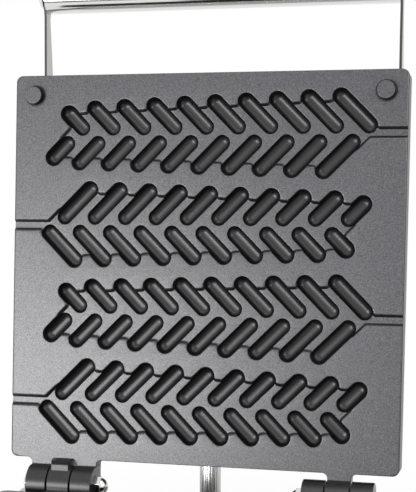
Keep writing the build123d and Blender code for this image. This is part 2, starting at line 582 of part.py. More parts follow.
def upper_shell():
    """The lid shell, with holes for the strap bolts and the conduit union."""
    shell = shell_body()
    reach = SHELL_SIZE / 2 + 1
    for y in STRAP_BOLT_YS:
        hole = STRAP_BOLT_RADIUS + HOLE_PLAY
        shell -= rod(hole, (-reach, y, -STRAP_BOLT_DEPTH), (reach, y, -STRAP_BOLT_DEPTH))
    through = -reach + 2 * SHELL_WALL + 1
    hole = rod(NECK_RADIUS + HOLE_PLAY, (0, -reach, -CONDUIT_DEPTH), (0, through, -CONDUIT_DEPTH))
    return UPPER * (shell - hole)


def strap(side):
    """One flat strap of the handle, tapering from the lid shell to its eye on the tube."""
    profile = Polygon(
        (STRAP_START_Y, -STRAP_BACK),
        (PLATE_EXIT_Y, -EXIT_BACK),
        (NECK_Y, -NECK_BACK),
        (TUBE_Y, -TUBE_DEPTH - EYE_RADIUS),
        (TUBE_Y, -TUBE_DEPTH + EYE_RADIUS),
        (NECK_Y, -NECK_FRONT),
        (PLATE_EXIT_Y, -STRAP_FRONT),
        (STRAP_START_Y, -STRAP_FRONT),
        align=None,
    )
    outline = profile + Pos(TUBE_Y, -TUBE_DEPTH) * Circle(EYE_RADIUS)
    outline -= Pos(TUBE_Y, -TUBE_DEPTH) * Circle(HANDLE_BOLT_RADIUS + HOLE_PLAY)
    for y in STRAP_BOLT_YS:
        outline -= Pos(y, -STRAP_BOLT_DEPTH) * Circle(STRAP_BOLT_RADIUS + HOLE_PLAY)
    ends = outline.vertices().filter_by(lambda v: abs(v.X - STRAP_START_Y) < NEAR)
    outline = fillet(ends, STRAP_CORNER)
    bar = extrude(Plane.YZ * outline, amount=STRAP_THICKNESS)
    inside = SHELL_SIZE / 2
    return UPPER * (Pos(inside if side > 0 else -inside - STRAP_THICKNESS, 0, 0) * bar)


def handle_tube():
    """The polished grip tube, with solid plugs that take the end bolts."""
    half = SHELL_SIZE / 2
    tube = rod(TUBE_RADIUS, (-half, TUBE_Y, -TUBE_DEPTH), (half, TUBE_Y, -TUBE_DEPTH))
    bore = TUBE_RADIUS - TUBE_WALL
    inner = half - PLUG_LENGTH
    tube -= rod(bore, (-inner, TUBE_Y, -TUBE_DEPTH), (inner, TUBE_Y, -TUBE_DEPTH))
    hole = HANDLE_BOLT_RADIUS + HOLE_PLAY
    for side in (-1, 1):
        start, end = side * (half + 1), side * (inner - 1)
        tube -= rod(hole, (start, TUBE_Y, -TUBE_DEPTH), (end, TUBE_Y, -TUBE_DEPTH))
    return UPPER * tube


def handle_bolt(side):
    """A bolt with a wide domed head through a strap's eye into the tube."""
    seat = SHELL_SIZE / 2 + STRAP_THICKNESS
    head = Pos(seat, 0, 0) * Rot(0, 90, 0) * dome(HANDLE_DOME_RADIUS, HANDLE_DOME_HEIGHT)
    bolt = head + rod(HANDLE_BOLT_RADIUS, (seat + 1, 0, 0), (seat - HANDLE_BOLT_LENGTH, 0, 0))
    bolt = Pos(0, TUBE_Y, -TUBE_DEPTH) * bolt
    return UPPER * (bolt if side > 0 else mirror(bolt, about=Plane.YZ))


def strap_bolts():
    """Button-head bolts through the straps and the lid shell, with nuts inside."""
    bolts = []
    face = SHELL_SIZE / 2 + STRAP_THICKNESS
    wall = SHELL_SIZE / 2 - SHELL_WALL
    for y in STRAP_BOLT_YS:
        z = -STRAP_BOLT_DEPTH
        head = rod(STRAP_HEAD_RADIUS, (face, y, z), (face + STRAP_HEAD_HEIGHT, y, z))
        head = fillet(head.faces().sort_by(Axis.X)[-1].edges(), STRAP_HEAD_ROUND)
        end = wall - STRAP_NUT_HEIGHT - STRAP_THREAD_END
        bolt = head + rod(STRAP_BOLT_RADIUS, (face + 1, y, z), (end, y, z))
        bolt += hex_bar(STRAP_NUT_RADIUS, (wall, y, z), (wall - STRAP_NUT_HEIGHT, y, z))
        bolts += [UPPER * bolt, UPPER * mirror(bolt, about=Plane.YZ)]
    return bolts


def base_room(play):
    """The room inside the folded housing, less some play on each side."""
    half = BASE_HALF_WIDTH - SHEET - play
    top = DECK_Z - SHEET - play
    room = block(-half, half, BASE_FRONT, BASE_REAR, FOOT_HEIGHT, top)
    edges = room.edges().filter_by(Axis.Y).group_by(Axis.Z)[-1]
    return fillet(edges, BEND_OUTER - SHEET - play) & behind_front(0)


def behind_front(inset):
    """Everything behind the front outline of the base, moved inwards by some amount."""
    tilt = inset * (1 - SLOPE_SIN) / SLOPE_COS
    lower = (BASE_FRONT + inset, SLOPE_FOOT_Z - tilt)
    rise = DECK_Z + CUT - lower[1]
    upper = (lower[0] + rise * SLOPE_RUN / SLOPE_RISE, lower[1] + rise)
    profile = Polygon((BASE_REAR, 0), (BASE_REAR, DECK_Z + CUT), upper, lower, (lower[0], 0), align=None)
    return extrude(Plane.YZ * profile, amount=BASE_HALF_WIDTH + 1, both=True)


def base_housing():
    """The folded housing: both sides and the deck in one sheet, open where the lower shell hangs."""
    solid = block(-BASE_HALF_WIDTH, BASE_HALF_WIDTH, BASE_FRONT, BASE_REAR, FOOT_HEIGHT, DECK_Z)
    solid = fillet(solid.edges().filter_by(Axis.Y).group_by(Axis.Z)[-1], BEND_OUTER)
    solid = (solid & behind_front(0)) - block(-WIDE, WIDE, -WIDE, WIDE, 0, FOOT_HEIGHT)
    room = block(
        -BASE_HALF_WIDTH + SHEET, BASE_HALF_WIDTH - SHEET, BASE_FRONT - 1, BASE_REAR + 1, 0, DECK_Z - SHEET
    )
    room = fillet(room.edges().filter_by(Axis.Y).group_by(Axis.Z)[-1], BEND_OUTER - SHEET)
    housing = solid - room
    opening = rounded_block(DECK_OPENING, DECK_OPENING, DECK_Z - CUT, DECK_Z + CUT, DECK_OPENING_CORNER)
    housing -= Pos(0, AXIS_Y_LOCAL, 0) * opening
    housing = BASE * housing
    union = conduit_ends()[2]
    return housing - rod(NECK_RADIUS + HOLE_PLAY, (0, union.Y, DECK_Z + CUT), (0, union.Y, DECK_Z - CUT))


def control_holes():
    """Holes in the sloping panel for the bushes, the switch and the lamps, in the panel's frame."""
    bush = BUSH_RADIUS + HOLE_PLAY
    holes = [rod(bush, (x, KNOB_Y, -CUT), (x, KNOB_Y, CUT)) for x in (TEMPERATURE_X, TIMER_X)]
    x0, x1 = SWITCH_X - SWITCH_BODY_WIDTH / 2, SWITCH_X + SWITCH_BODY_WIDTH / 2
    y0, y1 = SWITCH_Y - SWITCH_BODY_LENGTH / 2, SWITCH_Y + SWITCH_BODY_LENGTH / 2
    holes.append(block(x0 - HOLE_PLAY, x1 + HOLE_PLAY, y0 - HOLE_PLAY, y1 + HOLE_PLAY, -CUT, CUT))
    for side in (-1, 1):
        x = SWITCH_X + side * LAMP_SPREAD
        holes.append(rod(LAMP_BODY_RADIUS + HOLE_PLAY, (x, LAMP_Y, -CUT), (x, LAMP_Y, CUT)))
    return holes


def control_panel():
    """The front panel: upright below, sloping above."""
    sheet = base_room(PANEL_PLAY) - behind_front(PANEL_SHEET)
    sheet = sheet - [screw_hole(x, z, -1) for x, z in front_screw_places()]
    return BASE * sheet - [PANEL * hole for hole in control_holes()]


def bracket_x():
    """How far out the screws of the panel brackets stand."""
    return BASE_HALF_WIDTH - SHEET - BRACKET_LEG / 2


def rear_screw_places():
    return [(side * bracket_x(), z) for side in (-1, 1) for z in REAR_BRACKET_ZS]


def front_screw_places():
    return [(side * bracket_x(), z) for side in (-1, 1) for z in FRONT_BRACKET_ZS]


def panel_face(end):
    """The outer face of the rear panel (end 1) or of the front panel's upright part (end -1)."""
    return BASE_REAR if end > 0 else BASE_FRONT


def screw_hole(x, z, end):
    """A clearance hole through a panel and the bracket behind it."""
    face = panel_face(end)
    return rod(PANEL_SCREW_RADIUS + HOLE_PLAY, (x, face + end, z), (x, face - end * CUT, z))


def panel_bracket(x, z, end):
    """An angle welded to the side wall, which the panel is screwed to."""
    side = 1 if x > 0 else -1
    wall = BASE_HALF_WIDTH - SHEET
    behind = panel_face(end) - end * PANEL_SHEET
    low, high = z - BRACKET_HEIGHT / 2, z + BRACKET_HEIGHT / 2
    near, far = sorted((behind, behind - end * BRACKET_LEG))
    upright = block(wall - BRACKET_SHEET, wall, near, far, low, high)
    near, far = sorted((behind, behind - end * BRACKET_SHEET))
    bracket = upright + block(wall - BRACKET_LEG, wall, near, far, low, high)
    bracket -= screw_hole(abs(x), z, end)
    return BASE * (bracket if side > 0 else mirror(bracket, about=Plane.YZ))


def panel_screw(x, z, end):
    """A pan-head screw through a panel into its bracket."""
    face = panel_face(end)
    tip = face - end * (PANEL_SHEET + BRACKET_SHEET + PANEL_SCREW_END)
    head = rod(PANEL_HEAD_RADIUS, (x, face, z), (x, face + end * PANEL_HEAD_HEIGHT, z))
    head = fillet(head.faces().sort_by(Axis.Y)[-1 if end > 0 else 0].edges(), PANEL_HEAD_ROUND)
    return BASE * (head + rod(PANEL_SCREW_RADIUS, (x, face, z), (x, tip, z)))


def vent_slots(place):
    """A row of upright slots."""
    slots = []
    for index in range(VENT_COUNT):
        x = (index - (VENT_COUNT - 1) / 2) * VENT_PITCH
        slot = extrude(SlotOverall(VENT_LENGTH, VENT_WIDTH, rotation=90), amount=CUT, both=True)
        slots.append(place * (Pos(x, 0, 0) * slot))
    return slots


def back_panel():
    """The rear panel with its vents and the inlet hole."""
    sheet = base_room(PANEL_PLAY) & block(-WIDE, WIDE, BASE_REAR - PANEL_SHEET, BASE_REAR, 0, WIDE)
    upright = Location((REAR_VENTS_X, BASE_REAR, REAR_VENTS_Z)) * Rot(90, 0, 0)
    inlet = [(GLAND_X, BASE_REAR + shift, GLAND_Z) for shift in (CUT, -CUT)]
    sheet = sheet - vent_slots(upright) - rod(GLAND_NECK_RADIUS + HOLE_PLAY, *inlet)
    return BASE * (sheet - [screw_hole(x, z, 1) for x, z in rear_screw_places()])


def bottom_cover():
    """The floor of the base, slotted for air and drilled for the foot bolts."""
    front = BASE_FRONT + PANEL_SHEET + PANEL_PLAY
    rear = BASE_REAR - PANEL_SHEET - PANEL_PLAY
    sheet = base_room(PANEL_PLAY) & block(-WIDE, WIDE, front, rear, FOOT_HEIGHT, FOOT_HEIGHT + SHEET)
    sheet = sheet - vent_slots(Location((0, FLOOR_VENTS_Y, FOOT_HEIGHT)))
    for x in FOOT_XS:
        for y in FOOT_YS:
            sheet -= rod(FOOT_HOLE, (x, y, 0), (x, y, FOOT_HEIGHT + CUT))
    return BASE * sheet


def foot(x, y):
    """A tapered rubber foot with a recess for its bolt."""
    body = Solid.make_cone(FOOT_BOTTOM_RADIUS, FOOT_TOP_RADIUS, FOOT_HEIGHT)
    body = fillet(body.edges().group_by(Axis.Z)[0], FOOT_ROUND)
    body -= rod(FOOT_RECESS_RADIUS, (0, 0, -1), (0, 0, FOOT_RECESS_DEPTH))
    body -= rod(FOOT_HOLE, (0, 0, 0), (0, 0, FOOT_HEIGHT + 1))
    return BASE * Pos(x, y, 0) * body


def foot_bolt(x, y):
    """The bolt that holds a foot, with its nut inside the base."""
    seat, top = FOOT_RECESS_DEPTH, FOOT_HEIGHT + SHEET
    bolt = rod(FOOT_HEAD_RADIUS, (0, 0, seat), (0, 0, seat - FOOT_HEAD_HEIGHT))
    bolt += rod(FOOT_BOLT_RADIUS, (0, 0, seat - 1), (0, 0, top + FOOT_HEAD_HEIGHT + FOOT_THREAD_END))
    bolt += hex_bar(FOOT_HEAD_RADIUS, (0, 0, top), (0, 0, top + FOOT_HEAD_HEIGHT))
    return BASE * Pos(x, y, 0) * bolt


def support_rail(side):
    """The angle that hangs the lower shell from the deck."""
    wall = SHELL_SIZE / 2
    under = DECK_Z - SHEET
    middle = AXIS_Y_LOCAL
    y0, y1 = middle - RAIL_LENGTH / 2, middle + RAIL_LENGTH / 2
    upright = block(wall, wall + RAIL_THICKNESS, y0, y1, under - RAIL_LEG, under)
    flange = block(wall, wall + RAIL_LEG, y0, y1, under - RAIL_THICKNESS, under)
    rail = upright + flange
    return BASE * (rail if side > 0 else mirror(rail, about=Plane.YZ))


def control_body(x):
    """A thermostat or timer behind the panel, with its bush through the sheet."""
    half = CONTROL_BODY / 2
    back = -PANEL_SHEET
    body = block(x - half, x + half, KNOB_Y - half, KNOB_Y + half, back - CONTROL_BODY_DEPTH, back)
    body = fillet(body.edges().filter_by(Axis.Z), CONTROL_BODY_CORNER)
    body += rod(BUSH_RADIUS, (x, KNOB_Y, back), (x, KNOB_Y, BUSH_HEIGHT))
    hole = SPINDLE_RADIUS + SPINDLE_PLAY
    body -= rod(hole, (x, KNOB_Y, BUSH_HEIGHT + 1), (x, KNOB_Y, -SPINDLE_SINK - PIN_PLAY))
    return PANEL * body


def spindle(x):
    """The round spindle that the knob turns."""
    top = KNOB_GAP + KNOB_HEIGHT - SPINDLE_COVER
    return PANEL * rod(SPINDLE_RADIUS, (x, KNOB_Y, -SPINDLE_SINK), (x, KNOB_Y, top))


def knob(x):
    """A skirted knob with a flat grip bar across it."""
    skirt_top = KNOB_SKIRT_RADIUS - KNOB_SKIRT_TAPER
    base = Solid.make_cone(KNOB_SKIRT_RADIUS, skirt_top, KNOB_SKIRT_HEIGHT)
    body = base + Pos(0, 0, KNOB_SKIRT_HEIGHT) * Solid.make_cone(
        KNOB_RADIUS, KNOB_RADIUS - KNOB_TAPER, KNOB_HEIGHT - KNOB_SKIRT_HEIGHT
    )
    body = fillet(body.faces().sort_by(Axis.Z)[-1].edges(), KNOB_ROUND)
    for side in (-1, 1):
        reach, floor = KNOB_SKIRT_RADIUS, KNOB_HEIGHT - KNOB_GRIP_DEPTH
        scoop = block(KNOB_GRIP_WIDTH / 2, reach, -reach, reach, floor, KNOB_HEIGHT + 1)
        body -= scoop if side > 0 else mirror(scoop, about=Plane.YZ)
    bore_end = KNOB_HEIGHT - SPINDLE_COVER + PIN_PLAY
    body -= rod(SPINDLE_RADIUS + KNOB_BORE_PLAY, (0, 0, -1), (0, 0, bore_end))
    return PANEL * Pos(x, KNOB_Y, KNOB_GAP) * body


def switch_body():
    """The rocker's case: a bezel on the panel and a body behind it, with a pocket for the rocker."""
    bezel = rounded_block(SWITCH_WIDTH, SWITCH_LENGTH, 0, BEZEL_HEIGHT, BEZEL_CORNER)
    bezel = fillet(bezel.faces().sort_by(Axis.Z)[-1].edges(), BEZEL_ROUND)
    half_w, half_l = SWITCH_BODY_WIDTH / 2, SWITCH_BODY_LENGTH / 2
    body = bezel + block(-half_w, half_w, -half_l, half_l, -SWITCH_BODY_DEPTH, 0)
    pocket_half = ROCKER_RADIUS + ROCKER_PLAY
    pocket_width = ROCKER_WIDTH / 2 + ROCKER_PLAY
    pocket_floor = ROCKER_PIVOT - ROCKER_RADIUS + 1
    body -= block(-pocket_width, pocket_width, -pocket_half, pocket_half, pocket_floor, BEZEL_HEIGHT + 1)
    reach = pocket_width + ROCKER_PIN_LENGTH
    body -= rod(ROCKER_PIN_RADIUS + PIN_PLAY, (-reach, 0, ROCKER_PIVOT), (reach, 0, ROCKER_PIVOT))
    return PANEL * Pos(SWITCH_X, SWITCH_Y, 0) * body


def rocker():
    """The rocker, drawn level about its pivot and then tipped to OFF."""
    rise = ROCKER_RADIUS * math.tan(math.radians(ROCKER_TILT))
    top = Polygon(
        (-ROCKER_RADIUS, -ROCKER_FLOOR),
        (ROCKER_RADIUS, -ROCKER_FLOOR),
        (ROCKER_RADIUS, ROCKER_VALLEY + rise),
        (0, ROCKER_VALLEY),
        (-ROCKER_RADIUS, ROCKER_VALLEY + rise),
        align=None,
    )
    profile = top & Circle(ROCKER_RADIUS)
    half = ROCKER_WIDTH / 2
    body = extrude(Plane.YZ * profile, amount=half, both=True)
    pin = half + ROCKER_PIN_LENGTH
    body += rod(ROCKER_PIN_RADIUS, (-pin, 0, 0), (pin, 0, 0))
    return PANEL * Pos(SWITCH_X, SWITCH_Y, ROCKER_PIVOT) * Rot(ROCKER_TILT, 0, 0) * body


def lamp(side):
    """A pilot lamp: its holder through the panel and the coloured lens in front."""
    holder = rod(LAMP_BEZEL_RADIUS, (0, 0, 0), (0, 0, LAMP_BEZEL_HEIGHT))
    holder = chamfer(holder.faces().sort_by(Axis.Z)[-1].edges(), LAMP_BEZEL_EDGE)
    holder += rod(LAMP_BODY_RADIUS, (0, 0, 0), (0, 0, -LAMP_BODY_DEPTH))
    holder -= rod(LENS_RADIUS + LENS_PLAY, (0, 0, -LENS_SINK), (0, 0, LAMP_BEZEL_HEIGHT + 1))
    lens = rod(LENS_RADIUS, (0, 0, -LENS_SINK), (0, 0, LAMP_BEZEL_HEIGHT + LENS_RISE))
    lens = fillet(lens.faces().sort_by(Axis.Z)[-1].edges(), LENS_ROUND)
    place = PANEL * Pos(SWITCH_X + side * LAMP_SPREAD, LAMP_Y, 0)
    return place * holder, place * lens


def thermostat_bulb():
    """The sensing bulb on the back of the lower casting with its capillary to the thermostat."""
    depth = -PLATE_THICKNESS - BULB_RADIUS
    bulb_end = (LOWER * Location((0, BULB_FAR_Y, depth))).position
    bulb = LOWER * rod(BULB_RADIUS, (0, BULB_NEAR_Y, depth), (0, BULB_FAR_Y, depth))
    drop = (LOWER * Location((0, CAPILLARY_DROP_Y, depth))).position
    body_back = -PANEL_SHEET - CONTROL_BODY_DEPTH
    seat = (PANEL * Location((TEMPERATURE_X, KNOB_Y, body_back))).position
    run = drop.Z - CAPILLARY_LEVEL_Z
    behind = (PANEL * Location((TEMPERATURE_X, KNOB_Y, body_back - run))).position
    route = [
        (0, bulb_end.Y + 1, bulb_end.Z),
        (0, drop.Y, drop.Z),
        (0, drop.Y, CAPILLARY_LEVEL_Z),
        (TEMPERATURE_X, behind.Y, behind.Z),
        (seat.X, seat.Y, seat.Z),
    ]
    path = FilletPolyline(*route, radius=CAPILLARY_BEND)
    capillary = sweep(Plane(origin=path @ 0, z_dir=path % 0) * Circle(CAPILLARY_RADIUS), path=path)
    return bulb + capillary


def lower_shell():
    """The shell round the lower heater, with a hole for the capillary."""
    below, above = -SHELL_DEPTH - 1, -SHELL_DEPTH + SHELL_WALL + 1
    hole = rod(CAPILLARY_HOLE, (0, CAPILLARY_DROP_Y, below), (0, CAPILLARY_DROP_Y, above))
    return LOWER * (shell_body() - hole)


def terminal_block():
    """The ceramic block that joins the inlet to the wiring."""
    body = block(0, TERMINAL_WAYS * WAY_PITCH, 0, BLOCK_WIDTH, 0, BLOCK_HEIGHT)
    middle, floor = BLOCK_WIDTH / 2, BLOCK_HEIGHT - WAY_SCREW_DEPTH
    for index in range(TERMINAL_WAYS):
        x = (index + 0.5) * WAY_PITCH
        body -= rod(WAY_SCREW_RADIUS, (x, middle, floor), (x, middle, BLOCK_HEIGHT + 1))
        body -= rod(WAY_WIRE_RADIUS, (x, -1, WAY_WIRE_Z), (x, BLOCK_WIDTH + 1, WAY_WIRE_Z))
    return BASE * Pos(BLOCK_X, BLOCK_Y, FOOT_HEIGHT + SHEET) * body


def mains_gland():
    """The inlet gland through the rear panel: hex, tapered cap and locknut."""
    wall = BASE_REAR
    inside = wall - PANEL_SHEET
    gland = hex_bar(GLAND_HEX_RADIUS, (0, wall, 0), (0, wall + GLAND_HEX_HEIGHT, 0))
    cap = rod(GLAND_CAP_RADIUS, (0, wall + GLAND_HEX_HEIGHT, 0), (0, wall + GLAND_LENGTH, 0))
    gland += chamfer(cap.faces().sort_by(Axis.Y)[-1].edges(), GLAND_CAP_EDGE)
    gland += rod(GLAND_NECK_RADIUS, (0, wall, 0), (0, inside - GLAND_INNER, 0))
    gland += hex_bar(GLAND_HEX_RADIUS, (0, inside, 0), (0, inside - GLAND_NUT_HEIGHT, 0))
    gland -= rod(GLAND_BORE, (0, wall + GLAND_LENGTH + 1, 0), (0, inside - GLAND_INNER - 1, 0))
    return BASE * Pos(GLAND_X, 0, GLAND_Z) * gland


def build():
    """Every sub-part, by node name."""
    parts["upper_plate"] = [upper_plate()]
    parts["lower_plate"] = [lower_plate()]
    heater_stack("upper", UPPER)
    heater_stack("lower", LOWER)
    parts["upper_shell"] = [upper_shell()]
    parts["lower_shell"] = [lower_shell()]
    parts["handle_strap_left"] = [strap(-1)]
    parts["handle_strap_right"] = [strap(1)]
    parts["handle_strap_bolts"] = strap_bolts()
    parts["handle_tube"] = [handle_tube()]
    parts["handle_end_bolts"] = [handle_bolt(-1), handle_bolt(1)]
    parts["hinge_pins"] = [hinge_pin(-1), hinge_pin(1)]
    parts["hinge_dome_nuts"] = [dome_nut(-1), dome_nut(1)]
    parts["conduit_lid_union"] = [lid_union_place() * conduit_nut()]
    union = conduit_ends()[2]
    parts["conduit_base_union"] = [Pos(0, union.Y, DECK_Z) * conduit_nut()]
    parts["conduit"] = [conduit()]
    parts["base_housing"] = [base_housing()]
    parts["control_panel"] = [control_panel()]
    parts["back_panel"] = [back_panel()]
    parts["bottom_cover"] = [bottom_cover()]
    parts["support_rails"] = [support_rail(-1), support_rail(1)]
    places = [(x, z, 1) for x, z in rear_screw_places()] + [(x, z, -1) for x, z in front_screw_places()]
    parts["panel_brackets"] = [panel_bracket(*place) for place in places]
    parts["panel_screws"] = [panel_screw(*place) for place in places]
    places = [(x, y) for x in FOOT_XS for y in FOOT_YS]
    parts["feet"] = [foot(x, y) for x, y in places]
    parts["foot_bolts"] = [foot_bolt(x, y) for x, y in places]
    parts["thermostat_body"] = [control_body(TEMPERATURE_X)]
    parts["thermostat_spindle"] = [spindle(TEMPERATURE_X)]
    parts["temperature_knob"] = [knob(TEMPERATURE_X)]
    parts["timer_body"] = [control_body(TIMER_X)]
    parts["timer_spindle"] = [spindle(TIMER_X)]
    parts["timer_knob"] = [knob(TIMER_X)]
    parts["power_switch_body"] = [switch_body()]
    parts["power_rocker"] = [rocker()]
    for side, name in ((-1, "power_lamp"), (1, "heating_lamp")):
        holder, lens = lamp(side)
        parts[name + "_holder"] = [holder]
        parts[name + "_lens"] = [lens]
    parts["thermostat_bulb"] = [thermostat_bulb()]
    parts["terminal_block"] = [terminal_block()]
    parts["mains_gland"] = [mains_gland()]


build()
os.makedirs("parts", exist_ok=True)
for name, solids in parts.items():
    shape = solids[0] if len(solids) == 1 else Compound(children=solids)
    export_step(shape, f"parts/{name}.step")
print("hinge axis at Y", round(AXIS_Y, 3), "Z", AXIS_Z, "panel slope", round(SLOPE_ANGLE, 3))
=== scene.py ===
"""Dresses the packed waffle stick maker: coated castings, brushed steel, controls and a plain studio."""

import json
import math

import bmesh
import bpy
import numpy as np
from bpy.props import BoolProperty, FloatProperty, FloatVectorProperty, IntProperty, PointerProperty
from mathutils import Matrix, Vector
from mathutils.bvhtree import BVHTree

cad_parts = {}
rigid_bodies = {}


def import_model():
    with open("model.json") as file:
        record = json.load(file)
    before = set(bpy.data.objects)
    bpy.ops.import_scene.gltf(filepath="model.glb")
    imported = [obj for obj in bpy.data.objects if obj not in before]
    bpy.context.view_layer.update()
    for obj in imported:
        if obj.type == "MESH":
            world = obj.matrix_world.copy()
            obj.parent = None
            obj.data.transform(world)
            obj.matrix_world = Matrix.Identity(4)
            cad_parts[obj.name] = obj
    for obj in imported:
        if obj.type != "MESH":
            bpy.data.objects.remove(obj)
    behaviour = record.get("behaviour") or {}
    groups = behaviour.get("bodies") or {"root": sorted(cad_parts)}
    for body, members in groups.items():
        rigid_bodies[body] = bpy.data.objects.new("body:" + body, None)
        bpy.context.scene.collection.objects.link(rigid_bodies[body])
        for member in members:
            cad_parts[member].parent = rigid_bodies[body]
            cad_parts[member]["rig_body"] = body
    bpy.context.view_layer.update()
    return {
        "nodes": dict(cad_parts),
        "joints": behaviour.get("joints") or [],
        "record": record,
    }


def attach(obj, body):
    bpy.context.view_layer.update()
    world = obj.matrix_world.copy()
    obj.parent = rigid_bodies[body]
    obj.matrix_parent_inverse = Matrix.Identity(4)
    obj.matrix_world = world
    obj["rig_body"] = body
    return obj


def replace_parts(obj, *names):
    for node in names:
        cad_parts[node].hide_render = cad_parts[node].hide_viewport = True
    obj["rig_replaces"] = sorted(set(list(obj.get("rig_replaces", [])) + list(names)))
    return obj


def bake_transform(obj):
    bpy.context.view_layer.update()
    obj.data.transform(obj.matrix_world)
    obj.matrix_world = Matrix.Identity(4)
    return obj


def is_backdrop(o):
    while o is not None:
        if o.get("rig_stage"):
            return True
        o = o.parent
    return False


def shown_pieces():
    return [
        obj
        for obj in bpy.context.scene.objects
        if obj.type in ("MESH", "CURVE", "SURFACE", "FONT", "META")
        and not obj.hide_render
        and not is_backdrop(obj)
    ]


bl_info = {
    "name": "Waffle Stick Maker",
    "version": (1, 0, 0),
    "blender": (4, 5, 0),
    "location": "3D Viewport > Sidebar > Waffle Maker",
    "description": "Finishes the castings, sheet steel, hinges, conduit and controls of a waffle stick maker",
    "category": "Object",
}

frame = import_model()

# Places and directions of the machine, read from its joints
JOINTS = {joint["name"]: joint for joint in frame["joints"]}
HINGE = Vector(JOINTS["lid_hinge"]["pos_m"])
OPEN_ANGLE = math.radians(JOINTS["lid_hinge"]["range_deg"][1])
FACE_GAP = 0.00025                     # a baking face stays this far from the plane through the hinge
UP = Vector((0, 0, 1))
LID_NORMAL = Vector((0, -math.sin(OPEN_ANGLE), -math.cos(OPEN_ANGLE)))
LID_FORWARD = Vector((0, -math.cos(OPEN_ANGLE), math.sin(OPEN_ANGLE)))
PANEL_NORMAL = -Vector(JOINTS["temperature_dial"]["axis"])
PANEL_UP = Vector((0, PANEL_NORMAL.z, -PANEL_NORMAL.y))
ACROSS = Vector((1, 0, 0))

# Sizes of the machine's own pieces that the dressing has to meet, in metres
KNUCKLE_RADIUS = 0.0142
WEB_DEPTH = 0.0023
BOSS_SIDE = 0.134                      # from the middle of a casting to a boss
BOSS_REACH = 0.29735                   # from the hinge to a boss
BOSS_RADIUS = 0.0067
KNOB_TOP = 0.020
KNOB_SKIRT_RADIUS = 0.023
ROCKER_VALLEY = 0.0028
ROCKER_TILT = math.radians(11)
CONDUIT_RADIUS = 0.00825
STRAP_THICKNESS = 0.002
SHELL_SHEET = 0.0012

# Sizes of what the dressing adds, in metres
KNOB_FLUTES = 48
FLUTE_LOW, FLUTE_HIGH, FLUTE_SINK = (-0.0006, -0.0003, 0.0016), (0.0006, 0.0004, 0.0042), 0.0008
TICK_HALF, SHORT_TICK_HALF, SHORT_TICK_SHARE = 0.00045, 0.0003, 0.55
POINTER_INNER, POINTER_OUTER, POINTER_HALF = 0.006, 0.016, 0.0008
ROCKER_MARK_OUT = 0.0072               # from the rocker's middle to the middle of a mark
ROCKER_BAR_HALF, ROCKER_RING_INNER, ROCKER_RING_OUTER = 0.0006, 0.0015, 0.0025
INK_ROOT, INK_TOP = 0.0002, 0.00012    # a mark's depth below and height above what it is printed on
SHELL_SCREW = (0.0045, 0.0028, 0.002)  # radius and height of the head, radius of the shank
STRAP_BOLT = (0.005, 0.0032, 0.0025)
STRAP_NUT_RADIUS, STRAP_NUT_HEIGHT = 0.0046, 0.004

SHARP_ANGLE = 35.0                     # edges sharper than this, in degrees, are rounded or stay sharp
STRAY_SHARE = 0.33                     # of the rounding's width: how far off the solid a point may lie

# The photograph's height and the row that the camera looks straight at, in pixels
PICTURE_HEIGHT = 492.0
PRINCIPAL_Y = 330.0

# The stage, in metres and degrees
CAMERA_PLACE = (0.2293, -0.747, 0.5441)
CAMERA_TURN = (76.205, 1.688, 13.692)
LAMPS = {                              # place, aim, and size both ways
    "key": ((-0.74, -1.26, 0.40), (-0.05, 0.15, 0.34), (0.75, 0.42)),
    "side": ((1.25, -0.75, 0.95), (0, 0.12, 0.35), (0.5, 0.5)),
    "fill": ((0.3, -0.5, 2.2), (0, 0, 0.25), (1.6, 1.2)),
}
FLOOR_HALF = 6.0
FLOOR_GREY_TO, FLOOR_WHITE_FROM = 0.35, 0.8


def sum_method(operation, swapped=False):
    """A method of Link that makes one maths node."""
    def method(self, other):
        first, second = (other, self) if swapped else (self, other)
        return self.graph.maths(operation, first, second)
    return method


class Link:
    """A socket of a node tree. Links that carry numbers add, multiply and so on as Python numbers do."""

    def __init__(self, graph, socket):
        self.graph = graph
        self.socket = socket

    __add__, __radd__ = sum_method("ADD"), sum_method("ADD", swapped=True)
    __sub__, __rsub__ = sum_method("SUBTRACT"), sum_method("SUBTRACT", swapped=True)
    __mul__ = sum_method("MULTIPLY")

    def __neg__(self):
        return self * -1.0


